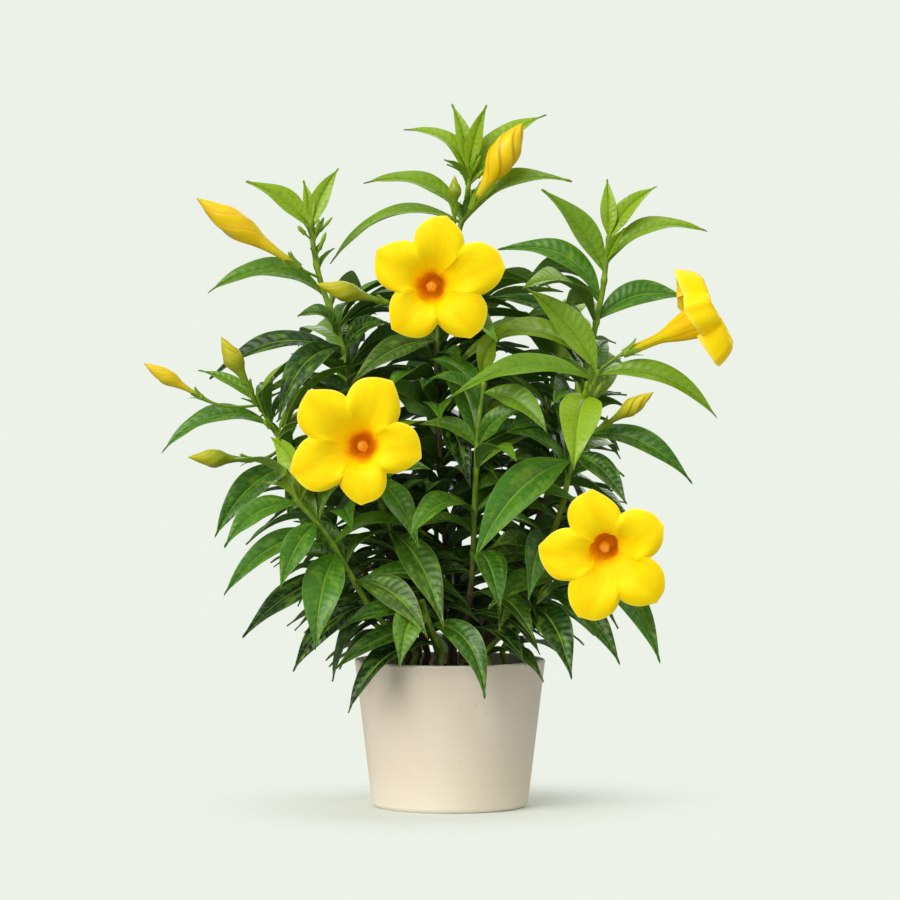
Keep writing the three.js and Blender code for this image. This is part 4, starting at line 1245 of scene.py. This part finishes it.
def soil_height(x, y):
    """The soil's top: a low cosine dome with hollows, clods and grains."""
    share = np.clip(np.hypot(x, y) / soil_radius(SOIL_EDGE), 0, 1)
    dome = SOIL_EDGE - 1 + (SOIL_CROWN - SOIL_EDGE) * np.cos(share * np.pi / 2)
    uneven = sum(height * ripples(x, y, *waves) for height, *waves in SOIL_WAVES)
    return dome + uneven * smooth(1.0, 0.93, share)


def build_soil(sizes):
    """The soil as a filled body with an uneven top, and loose crumbs bedded in it."""
    edge, bottom = soil_radius(SOIL_EDGE), POT_FLOOR + SEAT_GAP
    low = [[0.3, bottom], [INNER_DISC, bottom], [soil_radius(bottom), bottom]]
    low += [[soil_radius(SOIL_MIDDLE), SOIL_MIDDLE], [edge, SOIL_EDGE - 1]]
    top = [[r, 0] for r in np.linspace(edge - 0.5, 0.3, SOIL_ROWS)]
    rings = revolve(low + top, SOIL_SIDES)
    rings[len(low):, :, 2] = soil_height(rings[len(low):, :, 0], rings[len(low):, :, 1])
    shells = Shells()
    shells.add_loft(rings, tone=0.3)
    shells.build("soil_bed", [finish_of("soil")], "potting_soil", "soil")
    rng = np.random.default_rng(CRUMB_SEED)
    crumbs = Shells()
    for _ in range(sizes.soil_crumbs):
        radius, angle = (edge - 2.5) * math.sqrt(rng.random()), rng.uniform(0, 2 * np.pi)
        x, y = radius * math.cos(angle), radius * math.sin(angle)
        size = 0.45 + 1.5 * rng.random() ** 2.5
        ground = float(soil_height(np.array([x]), np.array([y]))[0])
        centre = np.array([x, y, ground + 0.35 * size])
        flat = rng.uniform(0.6, 1.0)
        centres = centre + np.outer(flat * size * np.sin(CRUMB_RINGS), UP)
        lumps = rng.uniform(0.75, 1.25, (len(CRUMB_RINGS), CRUMB_SIDES))
        axes = np.broadcast_to(unit(UP + rng.normal(0, 0.3, 3)), centres.shape)
        rings = rings_along(centres, axes, FORWARD, size * np.cos(CRUMB_RINGS), CRUMB_SIDES, lumps)
        crumbs.add_loft(rings, tone=rng.random())
    crumbs.build("soil_crumbs", [finish_of("soil")], "potting_soil", crease=30)


# Stems, stalks and calyces


def build_wood(name, shells):
    """The stem as a tube along its line. It thins to its tip and swells at each whorl by a bell curve."""
    stem, line = STEMS[name], plant()[name]["line"]
    t = np.linspace(0, 1, WOOD_ROWS * (len(line) - 1))
    centres, axes = through(line, t), slope(line, t)
    height = centres[:, 2]
    radius = lerp(stem["radius"], WOOD_TIP_RADIUS, t)
    top = line[-1, 2]
    to_whorl = (top - TIP_GAP - height + WHORL_SPACING / 2) % WHORL_SPACING - WHORL_SPACING / 2
    swell = WHORL_SWELL * np.exp(-((to_whorl / SWELL_LENGTH) ** 2))
    radius *= 1 + swell * smooth(WHORL_FOOT - 4, WHORL_FOOT + 8, height)
    angle = np.linspace(0, 2 * np.pi, WOOD_SIDES, endpoint=False)
    furrows = 1 + 0.04 * np.sin(3 * angle + 9 * t[:, None]) + 0.03 * np.sin(5 * angle - 31 * t[:, None])
    rings = rings_along(centres, axes, FORWARD, radius, WOOD_SIDES, furrows)
    shells.add_loft(rings, age=np.clip((top - height) / BARK_REACH, 0, 1)[:, None])


def build_calyx(stalk, shells):
    """A stalk, the cup at its end and five sepals that rise round the flower and bend outwards.

    A sepal's distance from the axis is 2.7 + 0.5 t + c t^2.3, with c from 2.7 to 4.5, and its half width
    falls as the root of 1 - t^2.2. It is keeled, and thins to its sides and tip.
    """
    size = stalk.size
    t = np.linspace(0.02, 1, STALK_ROWS)
    rise, wide = np.array(CUP_LINE).T
    centres = np.concatenate([stalk.at(t), stalk.cup + np.outer(rise, stalk.axis) * size])
    axes = np.concatenate([stalk.direction(t), np.broadcast_to(stalk.axis, (len(rise), 3))])
    radii = np.concatenate([STALK_RADIUS * (0.85 + 0.5 * smooth(0.8, 1.0, t)), size * wide])
    along = np.concatenate([0.5 * t, np.full(len(rise), 0.5)])
    rings = rings_along(centres, axes, CALYX_UP, radii, STALK_SIDES)
    shells.add_loft(rings, along=along[:, None], tone=0.4)
    first, second = across(stalk.axis, CALYX_UP)
    t = np.linspace(0, 1, SEPAL_ROWS)[:, None]
    w = np.linspace(-1, 1, SEPAL_COLUMNS)[None]
    for i in range(BLOOM_LOBES):
        angle = 2 * np.pi * i / BLOOM_LOBES
        outward = math.cos(angle) * first + math.sin(angle) * second
        sideways = np.cross(stalk.axis, outward)
        reach = size * (2.7 + 0.5 * t + (3.6 + 0.9 * math.sin(5.0 * i)) * t**2.3)
        half = size * (0.25 + 1.75 * np.sqrt(1 - 0.995 * t**2.2) * (0.8 + 0.5 * t))
        height = size * (-0.8 + (SEPAL_LENGTH + 0.6) * t) - 0.1 * w**2
        keel = reach - 0.28 * half * w**2
        front = stalk.cup + keel[..., None] * outward + (half * w)[..., None] * sideways
        front = front + height[..., None] * stalk.axis
        thick = 0.25 + 0.35 * (1 - np.abs(w)) * (1 - 0.6 * t)
        shells.add_slab(front - thick[..., None] * outward, front, along=0.35 + 0.65 * t, tone=0.4)


def build_young_buds(name, shells, count):
    """Slim green buds on short stalks, in a spray below the tip of a flowering stem, by a seeded draw."""
    line = plant()[name]["line"]
    rng = np.random.default_rng(len(name) * 31 + 5)
    share, own, of_width = np.array(YOUNG_BUD_LINE).T
    for _ in range(count):
        base = stem_at(line, line[-1, 2] - rng.uniform(2, 26))
        azimuth, climb = rng.uniform(-np.pi, 0.25 * np.pi), rng.uniform(0.5, 1.25)
        stalk, length, width = rng.uniform(5, 10), rng.uniform(6, 13), rng.uniform(1.0, 1.7)
        reach = np.where(share <= 1, share * stalk, stalk + (share - 1) * length)
        lift = 0.12 * reach * (reach / (stalk + length))
        along = heading(azimuth, climb)
        centres = base + np.outer(reach, along) + np.outer(lift, UP)
        axes = np.broadcast_to(along, centres.shape)
        rings = rings_along(centres, axes, CALYX_UP, own + of_width * width, YOUNG_BUD_SIDES)
        shells.add_loft(rings, along=(0.5 * share)[:, None], tone=rng.random())


# Leaves


def build_blade(leaf, shells, grid, relief, rng):
    """A blade as a thin slab over a grid of (v, w), v along it and w from -1 to 1 across it.

    A row bends towards the tip away from the midrib, as the side veins do: t = v + 0.07 |w|^1.2 sin(pi v).
    The point is midrib(t) + w half(t) side + h normal. h folds each half up and rounds it, 1.35 |w| - 0.35 w^2
    of the fold, and adds a bulge between each pair of side veins and a wave along the margin. The upper face
    has a groove over the midrib, and the lower one a ridge. The blade turns round its midrib towards the tip.
    """
    rows, columns = grid
    v = np.linspace(leaf.start, 1, rows)[:, None]
    w = np.linspace(-1, 1, columns)[None]
    w = w * np.abs(w) ** 0.3
    out = np.abs(w)
    t = np.clip(v + 0.07 * out**1.2 * np.sin(np.pi * v), 0, 1)
    point, side, normal = leaf.frame(t)
    twist = (rng.random() - 0.5) * 0.5 * v**1.5 + 0 * w
    side, normal = (
        side * np.cos(twist)[..., None] + normal * np.sin(twist)[..., None],
        normal * np.cos(twist)[..., None] - side * np.sin(twist)[..., None],
    )
    least = 0.12 + 0.7 * smooth(0.9, 0.2, v)
    half = np.maximum(leaf.half(t) * smooth(1.0, 0.97, v), least)
    veins = 9 + round(leaf.width / 3.5)
    bulge = np.abs(np.sin(np.pi * veins * v)) ** 0.8 - 0.55
    quilt = relief * leaf.width * (0.5 + 0.5 * leaf.age) * bulge
    quilt = quilt * smooth(0.04, 0.3, out) * smooth(1.0, 0.75, out)
    wave_turn = 2 * np.pi * (rng.uniform(1.6, 2.6) * v + rng.random()) + np.sign(w) * 1.3
    wave = 0.03 * leaf.width * np.sin(wave_turn) * w**2 * smooth(0.05, 0.3, v)
    fold = LEAF_FOLD + 0.12 * (1 - leaf.age)
    height = fold * half * (1.35 * out - 0.35 * out**2) + quilt * smooth(0.06, 0.2, v) + wave
    body = smooth(0.05, 0.2, v)
    groove = 0.3 * np.exp(-((w / 0.1) ** 2)) * body
    ridge = (0.3 + 0.75 * (1 - v)) * np.exp(-((w / 0.16) ** 2)) + 0.5 * (1 - body)
    middle = point + (w * half)[..., None] * side + height[..., None] * normal
    thick = 0.22 * (1 - 0.4 * out**4)
    front = middle + (thick - groove)[..., None] * normal
    back = middle - (thick + ridge)[..., None] * normal
    shells.add_slab(front, back, along=v, across=w, age=leaf.age, tone=rng.random(), veins=float(veins))


def sprigs(name, count):
    """Small young leaves that stand close round a flowering stem below its tip, by a seeded draw."""
    line = plant()[name]["line"]
    rng = np.random.default_rng(len(name) * 17 + 3)
    for _ in range(count):
        height = line[-1, 2] - rng.uniform(3, 36)
        azimuth, climb = rng.uniform(-np.pi, np.pi), rng.uniform(0.45, 1.15)
        base, length = stem_at(line, height), rng.uniform(15, 27)
        up = UP * math.cos(climb) - heading(azimuth, 0) * math.sin(climb)
        inside = LEAF_ROOT * stem_radius(STEMS[name], line, height)
        tip = base + length * heading(azimuth, climb)
        width, arch = SPRIG_SLENDERNESS * length, SPRIG_ARCH * length
        yield Leaf(base, tip, width, arch, up, inside, rng.uniform(0, 0.3))


def build_foliage(name, sizes):
    """The leaves of one stem: the listed ones are finer than the many that the rules add."""
    grown, rng, shells = plant()[name], name_draw(name), Shells()
    for i, leaf in enumerate(grown["leaves"]):
        placed = i < grown["placed"]
        grid, relief = (FINE_BLADE, sizes.vein_relief) if placed else (PLAIN_BLADE, 0.0)
        build_blade(leaf, shells, grid, relief, rng)
    if grown["stalks"]:
        for leaf in sprigs(name, sizes.sprig_leaves):
            build_blade(leaf, shells, PLAIN_BLADE, 0.0, rng)
    shells.build(name + "_leaves", [finish_of("leaf")], "foliage", name)


# Blooms and buds


def lobe_reach(angle):
    """How far a lobe's edge is from the bloom's axis, at angles in degrees from the lobe's middle."""
    edge = through(LOBE_EDGE, np.linspace(0, 1, 200))
    return np.interp(angle, edge[:, 0], edge[:, 1])


def build_corolla(name, bloom, sizes):
    """Five staves that make the tube, the throat and the lobes, each overlapping the next like shingles.

    Along a stave the tube follows TUBE_LINE. On the lobe, with s from 0 at the mouth to 1 at the edge, the
    radius is 11 + (reach - 11) s, and the point lies flare sin(2.1 s) - roll s^2 - 5.5 e^(-s / 0.17) in front
    of the mouth. One side of each lobe is raised, its middle is creased, its margin waves, and its end bends
    by the bloom's curl, which changes evenly from the middle of one lobe to the next.
    """
    shells, rng = Shells(), name_draw(name)
    flare, roll = bloom.get("flare", LOBE_FLARE), bloom.get("roll", LOBE_ROLL)
    _, axis, _, _ = bloom_frame(bloom)
    tube = through(TUBE_LINE, np.linspace(0, 1, TUBE_ROWS))
    line, depth = tube[:, :1], tube[:, 1:]
    out = np.linspace(0, 1, LOBE_ROWS)[1:, None] ** 1.3
    w = np.linspace(-1, 1, LOBE_COLUMNS)[None]
    spread = 180 / BLOOM_LOBES + LOBE_OVERLAP
    middles = np.arange(-1, BLOOM_LOBES + 1)
    curls = [bloom["curl"][i % BLOOM_LOBES] for i in middles]
    for lobe in range(BLOOM_LOBES):
        reach = lobe_reach(w * spread) * bloom.get("spread", 1) * bloom["lobes"][lobe]
        reach = reach * (1 + 0.006 * np.sin(9 * w + rng.uniform(0, 6)))
        radius = THROAT_RADIUS + (reach - THROAT_RADIUS) * out
        ahead = flare * np.sin(LOBE_TURN * out) - roll * out**2
        ahead = ahead - THROAT_DROP * np.exp(-out / THROAT_EASE)
        ahead = ahead + sizes.petal_overlap * w * smooth(0.5, 0.95, out)
        ahead = ahead - 1.5 * out**5 * np.abs(w) ** 2.2
        ahead = ahead - 0.6 * smooth(0.2, 0.7, out) * np.exp(-((w / 0.25) ** 2))
        ahead = ahead + 0.8 * out**3 * np.sin(3.6 * w + rng.uniform(0, 6))
        ahead = ahead + np.interp(lobe + w * spread * BLOOM_LOBES / 360, middles, curls) * out**2
        tube_radius = line * (1 + 0.04 * np.cos(w * np.pi) * smooth(-30, -12, depth)) + 0.22 * w
        radius = np.concatenate([tube_radius, radius + 0.22 * w * (1 - out)])
        ahead = np.concatenate([depth + 0 * w, ahead])
        turned = np.radians(w * spread + lobe * 360 / BLOOM_LOBES)
        share = np.concatenate([depth / 30 - 0.01, out])
        front = bloom_point(bloom, turned, radius, ahead) + bloom_bend(bloom, share, ahead)
        normal = unit(np.cross(np.gradient(front, axis=1), np.gradient(front, axis=0)))
        if np.sum(normal[len(tube):] @ axis) < 0:
            normal = -normal
        along = np.linspace(0, 1, len(radius))[:, None]
        thick = sizes.petal_thickness / MM * (1 - 0.5 * smooth(0.9, 1.0, along))
        thick = thick * (1 - 0.3 * np.abs(w) ** 6)
        back = front - thick[..., None] * normal
        shells.add_slab(front, back, along=along, across=w, out=share, tone=(lobe + 1) / 7)
    shells.build(name + "_corolla", [finish_of("petal")], "petal", name)
    build_knob(name, bloom)


def build_knob(name, bloom):
    """The style, the fringe that closes the throat and the joined anthers, as one turned line.

    The anthers have five ridges: their radius is that of the line times 1 + 0.05 cos 5a.
    """
    radius, depth = np.hsplit(through(KNOB_LINE, np.linspace(0, 1, KNOB_ROWS)), 2)
    angle = np.linspace(0, 2 * np.pi, KNOB_SIDES, endpoint=False)[None]
    ridge = 1 + 0.05 * np.cos(5 * angle) * smooth(-14, -9, depth)
    shells = Shells()
    rings = bloom_point(bloom, angle, radius * ridge, depth) + bloom_bend(bloom, 0, depth)
    shells.add_loft(rings, along=smooth(-30, -5, depth))
    shells.build(name + "_knob", [finish_of("knob")], "petal")


def build_bud(name, bud):
    """A spindle of five petals rolled round each other.

    The radius follows BUD_LINE, with a slimmer beak on young ones. Round it, each petal rises to its free
    edge and steps down to the next, and the edges wind round the spindle as it rises.
    """
    base, tip = np.array(bud["base"], float), np.array(bud["tip"], float)
    t = np.linspace(0, 1, BUD_ROWS)
    shares = np.array(BUD_LINE)
    profile = through(shares, np.interp(t, shares[:, 0], np.linspace(0, 1, len(shares))))[:, 1]
    profile = profile * (1 - 0.4 * (1 - bud["ripe"]) * smooth(0.55, 0.85, t))
    neck = min(CUP_RADIUS, 0.22 * bud["width"])
    radius = np.maximum(0.5 * bud["width"] * profile, 0.0)
    radius = np.where(t < 0.2, lerp(neck, radius, smooth(0.02, 0.2, t)), radius)
    t = t[:, None]
    angle = np.linspace(0, 2 * np.pi, BUD_SIDES, endpoint=False)[None]
    winding = BLOOM_LOBES * (angle / (2 * np.pi) + BUD_TURN * t**1.2)
    part = winding % 1
    step = smooth(0, 0.8, part) - smooth(0.8, 1, part)
    rolled = smooth(0.25, 0.5, t) * smooth(1.0, 0.93, t)
    seam = rolled * smooth(0.16, 0.0, np.abs(part - 0.93))
    axes = np.broadcast_to(unit(tip - base), (BUD_ROWS, 3))
    wobble = 1 + rolled * 0.1 * (step - 0.5)
    rings = rings_along(base + t * (tip - base), axes, FORWARD, radius, BUD_SIDES, wobble)
    shells = Shells()
    shells.add_loft(rings, along=t, seam=seam, ripe=bud["ripe"], winding=winding - part)
    shells.build(name + "_petals", [finish_of("bud")], "bud", name)


# Stage


def add_light(name, place, strength, softness, colour):
    """A far, broad light that shines onto the plant from the direction of a place, as a soft box does."""
    light = bpy.data.lights.new(name, "SUN")
    light.energy, light.angle, light.color = strength, softness, colour
    lamp = bpy.data.objects.new(name, light)
    bpy.context.scene.collection.objects.link(lamp)
    lamp.location = place
    lamp.rotation_euler = (-Vector(place)).to_track_quat("-Z", "Y").to_euler()


def build_stage(stage):
    """Floor, backdrop, lights and camera."""
    mesh = bpy.data.meshes.new("floor")
    corners = [(FLOOR_HALF * x, FLOOR_HALF * y, 0) for x, y in ((-1, -1), (1, -1), (1, 1), (-1, 1))]
    mesh.from_pydata(corners, [], [(0, 1, 2, 3)])
    plane = bpy.data.objects.new("floor", mesh)
    mesh.materials.append(finish_of("floor"))
    bpy.context.scene.collection.objects.link(plane)
    plane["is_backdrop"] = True
    world = bpy.data.worlds.new("studio")
    bpy.context.scene.world = world
    world.use_nodes = True
    tree = world.node_tree
    ambient = tree.nodes["Background"]
    ambient.inputs["Color"].default_value = (1.0, 1.0, 1.0, 1.0)
    ambient.inputs["Strength"].default_value = stage.ambient
    backdrop = tree.nodes.new("ShaderNodeBackground")
    backdrop.inputs["Color"].default_value = (*stage.backdrop, 1.0)
    seen = tree.nodes.new("ShaderNodeLightPath")
    both = tree.nodes.new("ShaderNodeMixShader")
    tree.links.new(seen.outputs["Is Camera Ray"], both.inputs[0])
    tree.links.new(ambient.outputs[0], both.inputs[1])
    tree.links.new(backdrop.outputs[0], both.inputs[2])
    tree.links.new(both.outputs[0], tree.nodes["World Output"].inputs["Surface"])
    for name, (place, colour) in LIGHTS.items():
        add_light(name, place, getattr(stage, name), stage.softness, colour)
    lens = bpy.data.cameras.new("camera")
    lens.lens, lens.sensor_width = stage.focal_length, SENSOR_WIDTH
    lens.dof.use_dof = False
    camera = bpy.data.objects.new("camera", lens)
    bpy.context.scene.collection.objects.link(camera)
    distance = stage.view_width * stage.focal_length / lens.sensor_width
    rise = stage.elevation
    target = np.array([0.0, 0.0, stage.view_height])
    camera.location = target + distance * np.array([0.0, -math.cos(rise), math.sin(rise)])
    camera.rotation_euler = (math.pi / 2 - rise, 0.0, 0.0)
    bpy.context.scene.camera = camera
    bpy.context.scene.view_settings.view_transform = "Standard"


# Settings, operators and panel


def colour_setting(label, red, green, blue):
    """A colour setting that starts at the given 0 to 255 screen values."""
    return bpy.props.FloatVectorProperty(
        name=label, description=f"Colour: {label.lower()}", subtype="COLOR", size=4, min=0, max=1,
        default=srgb(red, green, blue),
    )


def count_setting(label, description, default, least=0):
    """A setting for how many of something are built."""
    return bpy.props.IntProperty(name=label, description=description, default=default, min=least)


def strength_setting(label, description, default):
    """A setting for how strong a light is."""
    return bpy.props.FloatProperty(name=label, description=description, default=default, min=0)


class AllamandaColours(bpy.types.PropertyGroup):
    """Colours of the plant, the pot and the floor."""

    young_leaf: colour_setting("Young leaf", 146, 182, 28)
    leaf: colour_setting("Leaf", 70, 128, 24)
    lit_leaf: colour_setting("Lit patches of a leaf", 130, 178, 56)
    # Old leaves, and the painted shade of leaves deep in the crown
    old_and_shaded_leaf: colour_setting("Old and shaded leaf", 16, 46, 8)
    leaf_back: colour_setting("Underside of a leaf", 92, 130, 56)
    vein: colour_setting("Veins", 164, 196, 92)
    dry_tip: colour_setting("Dry tip", 140, 104, 30)
    bark: colour_setting("Bark", 120, 102, 70)
    bark_dark: colour_setting("Furrows of the bark", 70, 58, 36)
    stem_green: colour_setting("Green stem", 112, 148, 34)
    petal: colour_setting("Petal", 255, 222, 0)
    petal_pale: colour_setting("Pale parts of a petal", 255, 238, 8)
    petal_deep: colour_setting("Deep parts of a petal", 255, 200, 0)
    # Pale rim of a petal, partly a painted highlight
    pale_rim_and_highlight: colour_setting("Rim of a petal", 255, 246, 120)
    petal_glow: colour_setting("Glow round the throat", 255, 206, 0)
    throat: colour_setting("Throat", 252, 184, 20)
    throat_dark: colour_setting("Depth of the throat", 248, 172, 24)
    petal_foot: colour_setting("Foot of the tube", 196, 196, 40)
    knob: colour_setting("Knob", 240, 150, 52)
    bud_green: colour_setting("Green bud", 156, 176, 22)
    bud_seam: colour_setting("Seams of a ripe bud", 196, 130, 0)
    bud_seam_green: colour_setting("Seams of a green bud", 96, 116, 10)
    soil: colour_setting("Soil", 46, 32, 22)
    soil_dark: colour_setting("Dark soil", 18, 12, 9)
    soil_light: colour_setting("Light grains of soil", 92, 68, 48)
    pot: colour_setting("Pot", 238, 226, 206)
    pot_warm: colour_setting("Warm clouds of the pot", 235, 221, 197)
    # Paler colour at the top of the rim and round the foot
    pot_pale: colour_setting("Pale rim and foot of the pot", 246, 239, 226)
    pot_speck: colour_setting("Pits of the pot", 200, 184, 158)
    floor: colour_setting("Floor", 234, 240, 230)
    floor_cool: colour_setting("Cool parts of the floor", 232, 238, 229)


class AllamandaSizes(bpy.types.PropertyGroup):
    """Sizes and counts of the fine parts."""

    pot_sides: count_setting("Pot sides", "Facets round the pot", 192, 24)
    soil_crumbs: count_setting("Soil crumbs", "Loose crumbs on the soil", 1500)
    sprig_leaves: count_setting("Sprig leaves", "Small young leaves below the tip of each flowering stem", 9)
    young_buds: count_setting("Young buds", "Slim green buds below the tip of each flowering stem", 6)
    vein_relief: bpy.props.FloatProperty(
        name="Vein relief", default=0.015, min=0, max=0.1,
        description="Height of the fields between side veins, as a share of a leaf's width",
    )
    petal_thickness: bpy.props.FloatProperty(
        name="Petal thickness", default=0.0006, min=0.0002, unit="LENGTH",
        description="Thickness of a petal",
    )
    petal_overlap: bpy.props.FloatProperty(
        name="Petal overlap", default=0.6, min=0,
        description="How far a lobe's side is raised over the next, in millimetres",
    )


class AllamandaStage(bpy.types.PropertyGroup):
    """Camera, light and backdrop."""

    view_width: bpy.props.FloatProperty(
        name="View width", default=0.585, unit="LENGTH",
        description="Width of the view at the plant",
    )
    view_height: bpy.props.FloatProperty(
        name="Middle of the view", default=0.232, unit="LENGTH",
        description="Height of the middle of the view",
    )
    focal_length: bpy.props.FloatProperty(
        name="Focal length", default=200, min=20,
        description="Millimetres",
    )
    elevation: bpy.props.FloatProperty(
        name="Elevation", default=math.radians(2), subtype="ANGLE",
        description="Angle of the camera above level",
    )
    softness: bpy.props.FloatProperty(
        name="Softness", default=math.radians(48), subtype="ANGLE",
        description="How wide each light looks from the plant",
    )
    backdrop: bpy.props.FloatVectorProperty(
        name="Backdrop", default=srgb(236, 242, 232)[:3], subtype="COLOR", size=3,
        description="Colour behind the plant",
    )
    ambient: strength_setting("Ambient", "Light from all round", 0.34)
    key: strength_setting("Key light", "Strength, from the left", 2.3)
    top: strength_setting("Top light", "Strength, from above", 0.6)
    fill: strength_setting("Fill light", "Strength, from the right", 0.3)
    back: strength_setting("Back light", "Strength, from behind", 0.8)


class ALLAMANDA_OT_pot(bpy.types.Operator):
    """Builds the pot with its rim, foot and drainage holes"""

    bl_idname = "allamanda.pot"
    bl_label = "Pot"

    def execute(self, context):
        build_pot(context.scene.allamanda_sizes)
        return {"FINISHED"}


class ALLAMANDA_OT_soil(bpy.types.Operator):
    """Builds the soil bed and its crumbs"""

    bl_idname = "allamanda.soil"
    bl_label = "Soil"

    def execute(self, context):
        build_soil(context.scene.allamanda_sizes)
        return {"FINISHED"}


class ALLAMANDA_OT_stems(bpy.types.Operator):
    """Builds the stems, and the stalks, calyces and young buds on them"""

    bl_idname = "allamanda.stems"
    bl_label = "Stems and stalks"

    def execute(self, context):
        sizes = context.scene.allamanda_sizes
        for name, grown in plant().items():
            wood = Shells()
            build_wood(name, wood)
            wood.build(name + "_wood", [finish_of("stem")], "foliage", name)
            if grown["stalks"]:
                stalks = Shells()
                for stalk in grown["stalks"]:
                    build_calyx(stalk, stalks)
                build_young_buds(name, stalks, sizes.young_buds)
                stalks.build(name + "_stalks", [finish_of("calyx")], "foliage", name)
        return {"FINISHED"}


class ALLAMANDA_OT_leaves(bpy.types.Operator):
    """Builds the leaves of every stem"""

    bl_idname = "allamanda.leaves"
    bl_label = "Leaves"

    def execute(self, context):
        for name in plant():
            build_foliage(name, context.scene.allamanda_sizes)
        return {"FINISHED"}


class ALLAMANDA_OT_blooms(bpy.types.Operator):
    """Builds the open blooms"""

    bl_idname = "allamanda.blooms"
    bl_label = "Blooms"

    def execute(self, context):
        for name, bloom in BLOOMS.items():
            build_corolla(name, bloom, context.scene.allamanda_sizes)
        return {"FINISHED"}


class ALLAMANDA_OT_buds(bpy.types.Operator):
    """Builds the rolled buds"""

    bl_idname = "allamanda.buds"
    bl_label = "Buds"

    def execute(self, context):
        for name, bud in BUDS.items():
            build_bud(name, bud)
        return {"FINISHED"}


class ALLAMANDA_OT_stage(bpy.types.Operator):
    """Builds the floor, lights, backdrop and camera"""

    bl_idname = "allamanda.stage"
    bl_label = "Stage"

    def execute(self, context):
        build_stage(context.scene.allamanda_stage)
        return {"FINISHED"}


OPERATORS = (
    ALLAMANDA_OT_pot, ALLAMANDA_OT_soil, ALLAMANDA_OT_stems, ALLAMANDA_OT_leaves, ALLAMANDA_OT_blooms,
    ALLAMANDA_OT_buds, ALLAMANDA_OT_stage,
)


class ALLAMANDA_PT_panel(bpy.types.Panel):
    """Lists the pieces of the plant"""

    bl_idname = "ALLAMANDA_PT_panel"
    bl_label = "Allamanda"
    bl_space_type = "VIEW_3D"
    bl_region_type = "UI"
    bl_category = "Allamanda"

    def draw(self, context):
        for operator in OPERATORS:
            self.layout.operator(operator.bl_idname)
        for group in (
            context.scene.allamanda_sizes, context.scene.allamanda_colours, context.scene.allamanda_stage
        ):
            for name in group.__annotations__:
                self.layout.prop(group, name)


GROUPS = {
    "allamanda_colours": AllamandaColours, "allamanda_sizes": AllamandaSizes,
    "allamanda_stage": AllamandaStage,
}


def register():
    for name, group in GROUPS.items():
        bpy.utils.register_class(group)
        setattr(bpy.types.Scene, name, bpy.props.PointerProperty(type=group))
    for kind in (*OPERATORS, ALLAMANDA_PT_panel):
        bpy.utils.register_class(kind)


def unregister():
    for kind in reversed((*OPERATORS, ALLAMANDA_PT_panel)):
        bpy.utils.unregister_class(kind)
    for name, group in GROUPS.items():
        delattr(bpy.types.Scene, name)
        bpy.utils.unregister_class(group)


def main():
    """Builds the plant and its stage."""
    register()
    for operator in OPERATORS:
        group, name = operator.bl_idname.split(".")
        getattr(getattr(bpy.ops, group), name)()
    boxes = {"cad": CAD_BOX, "visual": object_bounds()}
    {key: [list(corner) for corner in box] for key, box in boxes.items()}


if __name__ == "__main__":
    main()
